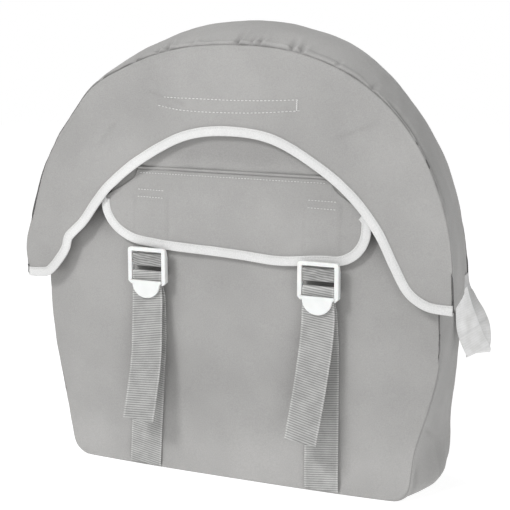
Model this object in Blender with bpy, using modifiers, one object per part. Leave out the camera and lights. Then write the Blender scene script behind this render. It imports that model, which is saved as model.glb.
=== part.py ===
"""Spare tire cover: a fabric pouch, a hood that slips over it, and two strap-and-buckle fastenings.

Metres, +Z up, front towards -Y. The origin is the middle of the flat base.
"""
import math

import bmesh
import bpy
from mathutils import Matrix, Vector

# ---------------------------------------------------------------- driving dimensions
GAP = 0.0003                 # clearance between pieces that touch
WALL = 0.0025                # lined polyester panel, as one thickness

# pouch, the lower half that holds the wheel
POUCH_BASE_HALF = 0.258      # half width at the base
POUCH_WIDEST_HALF = 0.297    # half width just below the hood's hem
POUCH_WIDEST_Z = 0.270
POUCH_MOUTH_HALF = 0.266     # half width at the mouth, inside the hood
POUCH_MOUTH_Z = 0.420
POUCH_CORNER = 0.022         # radius of the two bottom corners
POUCH_FRONT_Y = -0.0725      # front panel, outer face
POUCH_MOUTH_Y = -0.0600      # the front panel leans back to here at the mouth
POUCH_LEAN_Z = 0.280         # height where that lean starts
POUCH_EDGE_SETBACK = 0.008   # the front is bowed, and its side edges sit this far back
POUCH_BACK_Y = 0.0685        # back panel, outer face
MOUTH_TAPE_HEIGHT = 0.008
MOUTH_TAPE_THICK = 0.004

# hood, the domed upper half
HEM_Z = 0.276
# exponents of the hood's outline at its front seam, its crown and its back seam, 2 is an ellipse
ROUNDNESS = (2.3, 2.2, 2.08)
HOOD_FRONT_HALF = 0.320      # the outline at the front seam: half width and rise above the hem
HOOD_FRONT_RISE = 0.336
HOOD_CROWN_HALF = 0.314      # the outline along the crown, halfway back
HOOD_CROWN_RISE = 0.367
HOOD_REAR_HALF = 0.302       # the outline at the back seam
HOOD_REAR_RISE = 0.352
HOOD_FRONT_Y = -0.086        # front panel at the hem, outer face
HOOD_TOP_SETBACK = 0.020     # how far back the front panel is at its top seam
HOOD_SIDE_SETBACK = 0.008    # and towards its sides
HOOD_BACK_Y = 0.0735         # back panel, outer face
CORNER_X = 0.308             # the front panel's square corners start here
CORNER_Z = 0.2872
TAPE_WIDTH = 0.0125          # folded binding tape, visible width
TAPE_SLACK = 0.0012          # gap between the tape and the panel edge, wider than GAP on a curve
TAPE_THICK = 0.0033
# free edge of the arch over the flap: right half, from the middle to the corner
ARCH_POINTS = [(0.0, 0.490), (0.066, 0.481), (0.133, 0.446), (0.180, 0.409),
               (0.213, 0.368), (0.236, 0.325), (0.256, 0.293), (0.284, 0.2755), (0.320, 0.2722)]
INNER_TAPE_HALF = 0.108      # sewn tape inside the front panel
INNER_TAPE_Z = (0.5195, 0.5465)
INNER_TAPE_THICK = 0.0015

# flap, hung inside the hood's arch
FLAP_HINGE_Z = 0.4365
FLAP_HINGE_Y = -0.0690
FLAP_FRONT_Y = -0.0785       # outer face along the lower edge
FLAP_FLAT_Z = 0.345          # the flap is upright below this height
FLAP_BOTTOM_Z = 0.322
FLAP_TOP_HALF = 0.126        # it stays inside the arch's free edge, so that it can be lifted
FLAP_SHOULDER_HALF = 0.2015
FLAP_SHOULDER_Z = 0.366
FLAP_SHOULDER_CURVE = 1.5    # how round the sides turn in above the shoulders, 1 is a straight slope
FLAP_CORNER = 0.052
FLAP_THICK = 0.0020
FLAP_TAPE_THICK = 0.0030
UPPER_TOP_Z = 0.515          # top edge of the sewn upper part, behind the hood's front panel
UPPER_HALF = (0.186, 0.120)  # half width at its lower and upper edges

# webbing and buckles
STRAP_X = 0.132              # each strap's distance from the middle
STRAP_WIDTH = 0.050
STRAP_THICK = 0.0014
STRAP_BOTTOM_Z = 0.004
STRAP_FLAT_Z = 0.190         # the strap lies on the pouch up to here
RUN_END_Z = 0.2792           # just under the buckle's lower bar, where the wrap begins
WRAP_DRAPE_Z = 0.2680        # the wrap hangs straight down from here
BUCKLE_Y = -0.0885           # middle of the buckle's depth
BUCKLE_TOP_Z = 0.3212
BUCKLE_WIDTH = 0.0645
BUCKLE_HEIGHT = 0.053
BUCKLE_DEPTH = 0.0090
BUCKLE_CORNER = 0.0035
BUCKLE_RAIL = 0.0060         # width of the two side rails
BUCKLE_RIM = 0.0050          # height of the top rim
KEEPER_BAR_Z = (0.2975, 0.3125)
WRAP_BAR_Z = (0.2812, 0.2902)
BAR_DEPTH = 0.0032
THUMB_TAB_TOP_Z = 0.2797
THUMB_TAB_BOTTOM_Z = 0.2505
THUMB_TAB_HALF = 0.0215
THUMB_TAB_THICK = 0.0034
THUMB_TAB_Y = -0.0941        # middle of the thumb tab's thickness
THUMB_TAB_ROUND_Z = 0.2692   # its round end starts here
SEAT = 0.002                 # bars and thumb tab run this far into the side rails
KEEPER_NARROWER = 0.001      # the keeper webbing is this much narrower, to pass inside the frame
KEEPER_TOP_Z = 0.405
KEEPER_BEHIND = 0.0038       # its centre line is this far behind the flap's outer face
KEEPER_HINGE_Y = -0.0755     # the keeper bends at the flap's lower edge, and the buckle with it
KEEPER_HINGE_Z = 0.3205
# centre line (y, z) from the flap's lower edge into the buckle, behind its upper bar
KEEPER_TURN = [(-0.0748, KEEPER_HINGE_Z - GAP), (-0.0752, 0.3190), (-0.0824, 0.3155), (-0.0859, 0.3108)]
TAIL_HINGE_Y = -0.0915
TAIL_HINGE_Z = 0.2498
TAIL_END_Z = 0.0850
TAIL_REACH = 0.030           # how far forward of its hinge the tail's end stands
TAIL_CURL = 1.3              # exponent of that curve, 1 is straight

# side loops of white webbing
LOOP_Y = 0.031
LOOP_WIDTH = 0.038
LOOP_THICK = 0.0016
LOOP_HINGE_X = 0.3005
LOOP_HINGE_Z = 0.2720
# the loop's centre line, (outwards, upwards) from its hinge: down the outer leg and back up the inner one
LOOP_SHAPE = [(0.0, 0.0), (0.008, -0.012), (0.022, -0.034), (0.039, -0.060), (0.033, -0.075),
              (0.018, -0.079), (0.005, -0.066), (0.001, -0.036), (0.0, 0.0)]
LOOP_TAB_TOP_Z = 0.3020
LOOP_TAB_BOTTOM_Z = 0.2730
LOOP_TAB_THICK = 0.0032

SMOOTH_ANGLE = math.radians(40)

# ---------------------------------------------------------------- scene and materials


def clear_scene():
    for old in list(bpy.data.objects):
        bpy.data.objects.remove(old, do_unlink=True)


def new_collection(name):
    made = bpy.data.collections.new(name)
    bpy.context.scene.collection.children.link(made)
    return made


def material(name, colour, roughness):
    made = bpy.data.materials.new(name)
    made.use_nodes = True
    shader = made.node_tree.nodes["Principled BSDF"]
    shader.inputs["Base Color"].default_value = (*colour, 1.0)
    shader.inputs["Roughness"].default_value = roughness
    shader.inputs["Metallic"].default_value = 0.0
    return made


clear_scene()
PARTS = new_collection("spare_tire_cover")
CUTTERS = new_collection("cutters")
FABRIC = material("grey_polyester", (0.42, 0.41, 0.40), 0.85)
TAPE = material("white_binding_tape", (0.82, 0.82, 0.80), 0.70)
WEBBING = material("grey_webbing", (0.46, 0.46, 0.45), 0.75)
LOOP_WEBBING = material("white_webbing", (0.78, 0.78, 0.77), 0.70)
PLASTIC = material("white_plastic", (0.86, 0.86, 0.84), 0.40)


# ---------------------------------------------------------------- building helpers


def add_object(name, mesh, finish, origin=(0, 0, 0), parent=None):
    """Put a mesh in world coordinates into an object whose origin is where it turns."""
    mesh.transform(Matrix.Translation(-Vector(origin)))
    mesh.shade_smooth()
    mesh.set_sharp_from_angle(angle=SMOOTH_ANGLE)
    mesh.materials.append(finish)
    made = bpy.data.objects.new(name, mesh)
    PARTS.objects.link(made)
    made.location = origin
    if parent is not None:
        made.parent = parent
        made.location = Vector(origin) - world_place(parent)
    return made


def world_place(thing):
    place = Vector(thing.location)
    while thing.parent is not None:
        thing = thing.parent
        place = place + thing.location
    return place


def pivot(name, place, parent=None):
    """An empty on a joint's axis, which carries the pieces that move with it."""
    made = bpy.data.objects.new(name, None)
    PARTS.objects.link(made)
    made.location = Vector(place)
    if parent is not None:
        made.parent = parent
        made.location = Vector(place) - world_place(parent)
    return made


def sheet(name, columns, rows, point, thickness, finish, outward, offset=-1.0, parent=None, origin=(0, 0, 0)):
    """A grid bent to point(u, v), with u and v from 0 to 1, then given its thickness.

    outward is a rough direction of the outer face, so that the wall grows the right way.
    """
    mesh = bpy.data.meshes.new(name)
    shape = bmesh.new()
    bmesh.ops.create_grid(shape, x_segments=columns, y_segments=rows, size=1.0)
    for vertex in shape.verts:
        u = round((vertex.co.x + 1) / 2 * columns) / columns
        v = round((vertex.co.y + 1) / 2 * rows) / rows
        vertex.co = Vector(point(u, v))
    shape.normal_update()
    facing = sum(face.normal.dot(Vector(outward(face.calc_center_median()))) for face in shape.faces)
    if facing < 0:
        bmesh.ops.reverse_faces(shape, faces=shape.faces)
    shape.to_mesh(mesh)
    shape.free()
    made = add_object(name, mesh, finish, origin, parent)
    wall = made.modifiers.new("wall", "SOLIDIFY")
    wall.thickness = thickness
    wall.offset = offset
    wall.use_even_offset = True
    return made


def forwards(centre):
    return (0, -1, 0)


def from_axis(centre):
    """Outwards from the cover's middle, for the bands round its edge."""
    return (centre.x, 0, centre.z - HEM_Z)


def from_pouch_axis(centre):
    return (centre.x, 0, centre.z - POUCH_WIDEST_Z)


def ribbon(name, route, x_middle, width, thickness, finish, parent=None, origin=(0, 0, 0)):
    """Webbing: a centre line of (y, z) points, drawn out along X."""
    last = len(route) - 1

    def point(u, v):
        y, z = route[round(v * last)]
        return x_middle + (u - 0.5) * width, y, z

    return sheet(name, 2, last, point, thickness, finish, forwards, 0.0, parent, origin)


def arc(centre, radius, start, end, steps):
    """Points round a centre, in degrees from the first axis towards the second."""
    made = []
    for step in range(steps + 1):
        angle = math.radians(start + (end - start) * step / steps)
        made.append((centre[0] + radius * math.cos(angle), centre[1] + radius * math.sin(angle)))
    return made


def smooth_through(points, steps):
    """A Catmull-Rom curve through the points, with steps stretches between neighbours."""
    ends = [points[0]] + list(points) + [points[-1]]
    made = []
    for i in range(1, len(ends) - 2):
        a, b, c, d = (Vector(p) for p in ends[i - 1:i + 3])
        for step in range(steps):
            t = step / steps
            made.append(0.5 * (2 * b + (c - a) * t + (2 * a - 5 * b + 4 * c - d) * t ** 2
                               + (3 * b - a - 3 * c + d) * t ** 3))
    made.append(Vector(points[-1]))
    return made


def resample(points, count):
    """The same route as count equal stretches."""
    lengths = [0.0]
    for a, b in zip(points, points[1:]):
        lengths.append(lengths[-1] + (Vector(b) - Vector(a)).length)
    made = []
    at = 0
    for step in range(count + 1):
        want = lengths[-1] * step / count
        while at < len(points) - 2 and lengths[at + 1] < want:
            at += 1
        share = (want - lengths[at]) / (lengths[at + 1] - lengths[at])
        made.append(Vector(points[at]).lerp(Vector(points[at + 1]), share))
    return made


def shifted(points, distance):
    """The route moved sideways, to the left of its direction."""
    made = []
    for i, point in enumerate(points):
        along = Vector(points[min(i + 1, len(points) - 1)]) - Vector(points[max(i - 1, 0)])
        across = Vector((-along.y, along.x)).normalized()
        made.append(Vector(point) + across * distance)
    return made


def plate(name, outlines, thickness):
    """A mesh of flat outlines in XZ, the first solid and the rest holes, centred on Y = 0."""
    flat = bpy.data.curves.new(name, "CURVE")
    flat.dimensions = "2D"
    flat.fill_mode = "BOTH"
    flat.extrude = thickness / 2
    for outline in outlines:
        spline = flat.splines.new("POLY")
        spline.points.add(len(outline) - 1)
        for slot, (x, z) in zip(spline.points, outline):
            slot.co = (x, z, 0, 1)
        spline.use_cyclic_u = True
    holder = bpy.data.objects.new(name, flat)
    CUTTERS.objects.link(holder)
    bpy.context.view_layer.update()
    solid = bpy.data.meshes.new_from_object(holder.evaluated_get(bpy.context.evaluated_depsgraph_get()))
    bpy.data.objects.remove(holder, do_unlink=True)
    shape = bmesh.new()
    shape.from_mesh(solid)
    bmesh.ops.remove_doubles(shape, verts=shape.verts, dist=0.000001)
    bmesh.ops.rotate(shape, verts=shape.verts, cent=(0, 0, 0), matrix=Matrix.Rotation(math.pi / 2, 3, "X"))
    bmesh.ops.recalc_face_normals(shape, faces=shape.faces)
    shape.to_mesh(solid)
    shape.free()
    return solid


def joined(target, mesh, place):
    """Unite a mesh with target, through a helper object among the cutters."""
    helper = bpy.data.objects.new(target.name + "_piece", mesh)
    CUTTERS.objects.link(helper)
    helper.location = place
    helper.hide_render = True
    helper.display_type = "WIRE"
    union = target.modifiers.new("union", "BOOLEAN")
    union.operation = "UNION"
    union.solver = "EXACT"
    union.object = helper


# ---------------------------------------------------------------- outlines


def pouch_side(z):
    """Half width of the pouch at a height, without its round bottom corners."""
    if z < POUCH_WIDEST_Z:
        swell = math.sin(math.pi / 2 * z / POUCH_WIDEST_Z)
        return POUCH_BASE_HALF + (POUCH_WIDEST_HALF - POUCH_BASE_HALF) * swell
    closing = (z - POUCH_WIDEST_Z) / (POUCH_MOUTH_Z - POUCH_WIDEST_Z)
    return POUCH_WIDEST_HALF - (POUCH_WIDEST_HALF - POUCH_MOUTH_HALF) * closing ** 2


def flap_side(z):
    """Half width of the flap at a height, without its round lower corners."""
    if z < FLAP_SHOULDER_Z:
        return FLAP_SHOULDER_HALF
    share = (z - FLAP_SHOULDER_Z) / (FLAP_HINGE_Z - FLAP_SHOULDER_Z)
    return FLAP_SHOULDER_HALF + (FLAP_TOP_HALF - FLAP_SHOULDER_HALF) * share ** FLAP_SHOULDER_CURVE


def u_outline(side, bottom, top, corner, inset=0.0, side_steps=10, corner_steps=6):
    """Right half of an outline: the flat bottom's end, the round corner, then the side to the top."""
    made = []
    for step in range(corner_steps):
        angle = math.pi / 2 * step / corner_steps
        z = bottom + corner * (1 - math.cos(angle))
        half = side(z) - corner * (1 - math.sin(angle))
        made.append((half, z))
    for step in range(side_steps + 1):
        z = bottom + corner + (top - bottom - corner) * step / side_steps
        made.append((side(z), z))
    if inset == 0.0:
        return made
    return [(point.x, point.y) for point in shifted(made, inset)]


def u_route(right_half, bottom_steps):
    """The whole outline as one route, from the left top round the bottom to the right top."""
    left = [(-x, z) for x, z in reversed(right_half)]
    half, z = right_half[0]
    middle = [(-half + 2 * half * step / bottom_steps, z) for step in range(1, bottom_steps)]
    return left + middle + list(right_half)


def hood_ring(half, rise, roundness, steps, lowest=HEM_Z):
    """The hood's outline from the left hem over the top to the right hem."""
    start = math.asin(((lowest - HEM_Z) / rise) ** (roundness / 2))
    made = []
    for step in range(steps + 1):
        angle = start + (math.pi - 2 * start) * step / steps
        x = -math.copysign(abs(math.cos(angle)) ** (2 / roundness), math.cos(angle)) * half
        z = HEM_Z + rise * abs(math.sin(angle)) ** (2 / roundness)
        made.append((x, z))
    return made


# ---------------------------------------------------------------- surfaces


def pouch_front_y(x, z):
    lean = max(0.0, z - POUCH_LEAN_Z) / (POUCH_MOUTH_Z - POUCH_LEAN_Z)
    bow = min(1.0, abs(x) / pouch_side(z)) ** 3
    return POUCH_FRONT_Y + (POUCH_MOUTH_Y - POUCH_FRONT_Y) * lean ** 2 + POUCH_EDGE_SETBACK * bow


def hood_front_y(x, z):
    up = max(0.0, z - HEM_Z) / HOOD_FRONT_RISE
    return HOOD_FRONT_Y + HOOD_TOP_SETBACK * up ** 2 + HOOD_SIDE_SETBACK * up * (x / HOOD_FRONT_HALF) ** 2


def flap_y(z):
    up = max(0.0, z - FLAP_FLAT_Z) / (FLAP_HINGE_Z - FLAP_FLAT_Z)
    return FLAP_FRONT_Y + (FLAP_HINGE_Y - FLAP_FRONT_Y) * up ** 2


# ---------------------------------------------------------------- pouch


def make_pouch():
    right = u_outline(pouch_side, 0.0, POUCH_MOUTH_Z, POUCH_CORNER)
    rows = len(right) - 1

    def front(u, v):
        half, z = right[round(v * rows)]
        x = (2 * u - 1) * half
        return x, pouch_front_y(x, z), z

    sheet("pouch_front_panel", 16, rows, front, WALL, FABRIC, forwards)
    route = u_route(right, 16)
    last = len(route) - 1

    def band(u, v):
        x, z = route[round(u * last)]
        front_edge = pouch_front_y(x, z) + WALL + GAP
        back_edge = POUCH_BACK_Y - WALL - GAP
        return x, front_edge + (back_edge - front_edge) * v, z

    sheet("pouch_gusset", last, 4, band, WALL, FABRIC, from_pouch_axis)
    back = plate("pouch_back_panel", [route], WALL)
    back.transform(Matrix.Translation((0, POUCH_BACK_Y - WALL / 2, 0)))
    add_object("pouch_back_panel", back, FABRIC)
    make_mouth_tape()


def make_mouth_tape():
    """The tape folded over the pouch's mouth, as a ring that sits on the walls."""
    count = 12
    front = [((2 * i / count - 1) * POUCH_MOUTH_HALF) for i in range(count + 1)]
    outer = [(x, pouch_front_y(x, POUCH_MOUTH_Z) - GAP) for x in front]
    outer += [(POUCH_MOUTH_HALF, POUCH_BACK_Y), (-POUCH_MOUTH_HALF, POUCH_BACK_Y)]
    inner_half = POUCH_MOUTH_HALF - MOUTH_TAPE_THICK
    inner = [((2 * i / count - 1) * inner_half) for i in range(count + 1)]
    inner = [(x, pouch_front_y(x, POUCH_MOUTH_Z) + MOUTH_TAPE_THICK) for x in inner]
    inner += [(inner_half, POUCH_BACK_Y - MOUTH_TAPE_THICK), (-inner_half, POUCH_BACK_Y - MOUTH_TAPE_THICK)]
    ring = plate("pouch_mouth_binding", [outer, inner], MOUTH_TAPE_HEIGHT)
    turn = Matrix.Rotation(-math.pi / 2, 4, "X")
    lift = Matrix.Translation((0, 0, POUCH_MOUTH_Z + GAP + MOUTH_TAPE_HEIGHT / 2))
    ring.transform(lift @ turn)
    add_object("pouch_mouth_binding", ring, TAPE)


# ---------------------------------------------------------------- hood


def arch_route():
    """The arch's free edge, from the left corner to the right corner."""
    mirrored = [(-x, z) for x, z in reversed(ARCH_POINTS[1:])]
    return resample(smooth_through(mirrored + ARCH_POINTS, 6), 64)


def make_hood(parent):
    edge = arch_route()
    seam = shifted(edge, TAPE_WIDTH)
    last = len(edge) - 1

    def tape(u, v):
        near = edge[round(u * last)].lerp(seam[round(u * last)], v)
        x = max(-HOOD_FRONT_HALF, min(HOOD_FRONT_HALF, near.x))
        return x, hood_front_y(near.x, near.y) - (TAPE_THICK - WALL), near.y

    sheet("hood_front_binding", last, 1, tape, TAPE_THICK, TAPE, forwards, parent=parent)
    columns = 60
    inner = [p for p in shifted(edge, TAPE_WIDTH + TAPE_SLACK) if abs(p.x) < CORNER_X and p.y > CORNER_Z]
    inner = [Vector((-CORNER_X, CORNER_Z))] + inner + [Vector((CORNER_X, CORNER_Z))]
    inner = resample(inner, columns)
    outer = resample(hood_ring(HOOD_FRONT_HALF, HOOD_FRONT_RISE, ROUNDNESS[0], 96, CORNER_Z), columns)
    across = 5

    def front(u, v):
        near = inner[round(u * columns)].lerp(outer[round(u * columns)], v)
        return near.x, hood_front_y(near.x, near.y), near.y

    sheet("hood_front_panel", columns, across, front, WALL, FABRIC, forwards, parent=parent)
    make_hood_gusset(parent)
    ring = hood_ring(HOOD_REAR_HALF, HOOD_REAR_RISE, ROUNDNESS[2], 48)
    back = plate("hood_back_panel", [ring], WALL)
    back.transform(Matrix.Translation((0, HOOD_BACK_Y - WALL / 2, 0)))
    add_object("hood_back_panel", back, FABRIC, parent=parent)

    def inside(u, v):
        x = (2 * u - 1) * INNER_TAPE_HALF
        z = INNER_TAPE_Z[0] + (INNER_TAPE_Z[1] - INNER_TAPE_Z[0]) * v
        return x, hood_front_y(x, z) + WALL + 2 * GAP, z

    sheet("hood_inner_tape", 8, 2, inside, INNER_TAPE_THICK, TAPE, forwards, parent=parent)


def make_hood_gusset(parent):
    """The wide band between the hood's two panels, highest a little behind its front seam."""
    columns = 60
    halves = (HOOD_FRONT_HALF, HOOD_CROWN_HALF, HOOD_REAR_HALF)
    rises = (HOOD_FRONT_RISE, HOOD_CROWN_RISE, HOOD_REAR_RISE)

    def bowed(values, v):
        front, crown, rear = values
        return front * (1 - v) * (1 - 2 * v) + crown * 4 * v * (1 - v) + rear * v * (2 * v - 1)

    rows = 6
    shares = [i / rows for i in range(rows + 1)]
    rings = [hood_ring(bowed(halves, v), bowed(rises, v), bowed(ROUNDNESS, v), columns) for v in shares]

    def band(u, v):
        x, z = rings[round(v * rows)][round(u * columns)]
        front_x, front_z = rings[0][round(u * columns)]
        front_edge = hood_front_y(front_x, front_z) + WALL + GAP
        back_edge = HOOD_BACK_Y - WALL - GAP
        return x, front_edge + (back_edge - front_edge) * v, z

    sheet("hood_gusset", columns, rows, band, WALL, FABRIC, from_axis, parent=parent)


# ---------------------------------------------------------------- flap


def make_flap(hood, hinge):
    top = FLAP_HINGE_Z - GAP
    outer = u_outline(flap_side, FLAP_BOTTOM_Z, top, FLAP_CORNER)
    tape_edge = u_outline(flap_side, FLAP_BOTTOM_Z, top, FLAP_CORNER, TAPE_WIDTH)
    panel_edge = u_outline(flap_side, FLAP_BOTTOM_Z, top, FLAP_CORNER, TAPE_WIDTH + GAP)
    tape_edge[-1] = (tape_edge[-1][0], top)
    panel_edge[-1] = (panel_edge[-1][0], top)
    tape_edge[0] = (outer[0][0], tape_edge[0][1])
    panel_edge[0] = (outer[0][0], panel_edge[0][1])
    rows = len(panel_edge) - 1

    def panel(u, v):
        half, z = panel_edge[round(v * rows)]
        return (2 * u - 1) * half, flap_y(z), z

    at = (0, FLAP_HINGE_Y, FLAP_HINGE_Z)
    sheet("flap_lower_panel", 14, rows, panel, FLAP_THICK, FABRIC, forwards, parent=hinge, origin=at)
    outside = u_route(outer, 12)
    inside = u_route(tape_edge, 12)
    last = len(outside) - 1

    def tape(u, v):
        near = Vector(outside[round(u * last)]).lerp(Vector(inside[round(u * last)]), v)
        return near.x, flap_y(near.y) - (FLAP_TAPE_THICK - FLAP_THICK) / 2, near.y

    sheet("flap_binding", last, 1, tape, FLAP_TAPE_THICK, TAPE, forwards, parent=hinge, origin=at)
    low = FLAP_HINGE_Z + GAP

    def upper(u, v):
        z = low + (UPPER_TOP_Z - low) * v
        half = UPPER_HALF[0] + (UPPER_HALF[1] - UPPER_HALF[0]) * v
        x = (2 * u - 1) * half
        behind_hood = hood_front_y(x, UPPER_TOP_Z) + WALL + 4 * GAP
        return x, FLAP_HINGE_Y + (behind_hood - FLAP_HINGE_Y) * v ** 2, z

    sheet("flap_upper_panel", 8, 4, upper, FLAP_THICK, FABRIC, forwards, parent=hood)


# ---------------------------------------------------------------- webbing and buckles


def bar_wrap(bar_end_z, start_angle, end_angle, steps):
    """Centre-line points of webbing round the end of a flat bar, seen along X as (y, z)."""
    radius = BAR_DEPTH / 2 + GAP + STRAP_THICK / 2
    return arc((BUCKLE_Y, bar_end_z), radius, start_angle, end_angle, steps)


def make_strap(side, x, buckle_hinge, tail_hinge):
    flat_y = POUCH_FRONT_Y - GAP - STRAP_THICK / 2
    back_leg_y = BUCKLE_Y + BAR_DEPTH / 2 + GAP + STRAP_THICK / 2
    front_leg_y = BUCKLE_Y - BAR_DEPTH / 2 - GAP - STRAP_THICK / 2
    steps = 8
    run = [(flat_y, STRAP_BOTTOM_Z), (flat_y, STRAP_FLAT_Z / 2), (flat_y, STRAP_FLAT_Z)]
    for step in range(1, steps + 1):
        share = step / steps
        ease = share * share * (3 - 2 * share)
        run.append((flat_y + (back_leg_y - flat_y) * ease, STRAP_FLAT_Z + (RUN_END_Z - STRAP_FLAT_Z) * share))
    ribbon("strap_" + side + "_run", run, x, STRAP_WIDTH, STRAP_THICK, WEBBING)
    wrap = [(back_leg_y, RUN_END_Z + GAP)]
    wrap += bar_wrap(WRAP_BAR_Z[1] - BAR_DEPTH / 2, 0, 180, 8)
    wrap += [(front_leg_y, WRAP_BAR_Z[0]), (TAIL_HINGE_Y + STRAP_THICK / 2, WRAP_DRAPE_Z),
             (TAIL_HINGE_Y + STRAP_THICK / 2, TAIL_HINGE_Z + GAP)]
    ribbon("strap_" + side + "_wrap", wrap, x, STRAP_WIDTH, STRAP_THICK, WEBBING,
           buckle_hinge, (x, KEEPER_HINGE_Y, KEEPER_HINGE_Z))
    tail = []
    tail_steps = 10
    for step in range(tail_steps + 1):
        share = step / tail_steps
        z = TAIL_HINGE_Z - GAP + (TAIL_END_Z - TAIL_HINGE_Z + GAP) * share
        tail.append((TAIL_HINGE_Y + STRAP_THICK / 2 - TAIL_REACH * share ** TAIL_CURL, z))
    ribbon("strap_" + side + "_tail", tail, x, STRAP_WIDTH, STRAP_THICK, WEBBING,
           tail_hinge, (x, TAIL_HINGE_Y, TAIL_HINGE_Z))


def make_keeper(side, x, flap_hinge, buckle_hinge):
    """Webbing sewn behind the flap, and its lower part, which goes round the buckle's upper bar."""
    upper = []
    steps = 5
    for step in range(steps + 1):
        z = KEEPER_TOP_Z + (FLAP_FLAT_Z - KEEPER_TOP_Z) * step / steps
        upper.append((flap_y(z) + KEEPER_BEHIND, z))
    upper.append((KEEPER_TURN[0][0], KEEPER_HINGE_Z + GAP))
    width = STRAP_WIDTH - KEEPER_NARROWER
    ribbon("keeper_" + side + "_upper", upper, x, width, STRAP_THICK, WEBBING,
           flap_hinge, (0, FLAP_HINGE_Y, FLAP_HINGE_Z))
    lower = KEEPER_TURN + bar_wrap(KEEPER_BAR_Z[0] + BAR_DEPTH / 2, 0, -180, 8)
    lower += bar_wrap(KEEPER_BAR_Z[1] - BAR_DEPTH / 2, 180, 120, 3)
    ribbon("keeper_" + side + "_lower", lower, x, width, STRAP_THICK, WEBBING,
           buckle_hinge, (x, KEEPER_HINGE_Y, KEEPER_HINGE_Z))


def bar_mesh(width, bar):
    """A flat bar along X with round long edges."""
    half = BAR_DEPTH / 2
    tall = (bar[1] - bar[0]) / 2 - half
    outline = arc((0, tall), half, 0, 180, 6) + arc((0, -tall), half, 180, 360, 6)
    solid = plate("bar", [outline], width)
    solid.transform(Matrix.Rotation(math.pi / 2, 4, "Z"))
    return solid


def make_buckle(side, x, hinge):
    """A one-piece ladder buckle: a frame, two bars and a rounded thumb tab."""
    low_z = BUCKLE_TOP_Z - BUCKLE_HEIGHT
    half = BUCKLE_WIDTH / 2
    inner_half = half - BUCKLE_RAIL
    top = BUCKLE_TOP_Z - BUCKLE_RIM
    corner = BUCKLE_CORNER
    outline = arc((half - corner, BUCKLE_TOP_Z - corner), corner, 0, 90, 4)
    outline += arc((corner - half, BUCKLE_TOP_Z - corner), corner, 90, 180, 4)
    outline += [(-half, low_z), (-inner_half, low_z), (-inner_half, top),
                (inner_half, top), (inner_half, low_z), (half, low_z)]
    frame = plate("buckle_" + side, [outline], BUCKLE_DEPTH)
    frame.transform(Matrix.Translation((x, BUCKLE_Y, 0)))
    made = add_object("buckle_" + side, frame, PLASTIC, (x, KEEPER_HINGE_Y, KEEPER_HINGE_Z), hinge)
    seated_half = inner_half + SEAT
    for bar in (KEEPER_BAR_Z, WRAP_BAR_Z):
        joined(made, bar_mesh(2 * seated_half, bar), (x, BUCKLE_Y, sum(bar) / 2))
    drop = THUMB_TAB_ROUND_Z - THUMB_TAB_BOTTOM_Z
    squeeze = drop / THUMB_TAB_HALF
    rounded = [(across, THUMB_TAB_ROUND_Z + squeeze * up)
               for across, up in arc((0, 0), THUMB_TAB_HALF, 0, -180, 15)]
    root_z = low_z + GAP
    root = [(-seated_half, root_z), (-seated_half, THUMB_TAB_TOP_Z),
            (seated_half, THUMB_TAB_TOP_Z), (seated_half, root_z)]
    tab = plate("tab", [root + rounded], THUMB_TAB_THICK)
    joined(made, tab, (x, THUMB_TAB_Y, 0))


# ---------------------------------------------------------------- side loops


def make_side_loop(side, sign, hinge):
    """A loop of webbing that hangs from under the hem, and its sewn end above."""
    middle = resample(smooth_through(LOOP_SHAPE, 5), 28)[1:-1]
    outer = [(sign * p.x, p.y) for p in shifted(middle, LOOP_THICK / 2)]
    inner = [(sign * p.x, p.y) for p in shifted(middle, -LOOP_THICK / 2)]
    start = Vector((LOOP_HINGE_X * sign, LOOP_Y, LOOP_HINGE_Z))
    band = plate("side_loop_" + side, [outer, inner], LOOP_WIDTH)
    band.transform(Matrix.Translation(start))
    add_object("side_loop_" + side, band, LOOP_WEBBING, start, hinge)
    half = LOOP_TAB_THICK / 2
    tab_outline = [(-half, LOOP_TAB_BOTTOM_Z), (half, LOOP_TAB_BOTTOM_Z),
                   (half, LOOP_TAB_TOP_Z), (-half, LOOP_TAB_TOP_Z)]
    tab = plate("side_loop_" + side + "_tab", [tab_outline], LOOP_WIDTH)
    tab.transform(Matrix.Translation((start.x, LOOP_Y, 0)))
    add_object("side_loop_" + side + "_tab", tab, LOOP_WEBBING)


# ---------------------------------------------------------------- assembly


def main():
    make_pouch()
    hood = pivot("hood_slide", (0, 0, HEM_Z))
    make_hood(hood)
    flap_hinge = pivot("flap_hinge", (0, FLAP_HINGE_Y, FLAP_HINGE_Z), hood)
    make_flap(hood, flap_hinge)
    for side, sign in (("left", -1), ("right", 1)):
        x = sign * STRAP_X
        buckle_hinge = pivot("buckle_" + side + "_hinge", (x, KEEPER_HINGE_Y, KEEPER_HINGE_Z), flap_hinge)
        tail_hinge = pivot("tail_" + side + "_hinge", (x, TAIL_HINGE_Y, TAIL_HINGE_Z), buckle_hinge)
        make_buckle(side, x, buckle_hinge)
        make_keeper(side, x, flap_hinge, buckle_hinge)
        make_strap(side, x, buckle_hinge, tail_hinge)
        loop_hinge = pivot("loop_" + side + "_hinge", (sign * LOOP_HINGE_X, LOOP_Y, LOOP_HINGE_Z))
        make_side_loop(side, sign, loop_hinge)


main()
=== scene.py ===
# Looks of the spare tire cover: sewn polyester shells, folded binding tape, ribbed webbing and two
# moulded buckles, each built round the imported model. Metres, +Z up, front towards -Y.
import math

import bmesh
import bpy
import numpy as np
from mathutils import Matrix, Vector, noise
from mathutils.bvhtree import BVHTree


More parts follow.
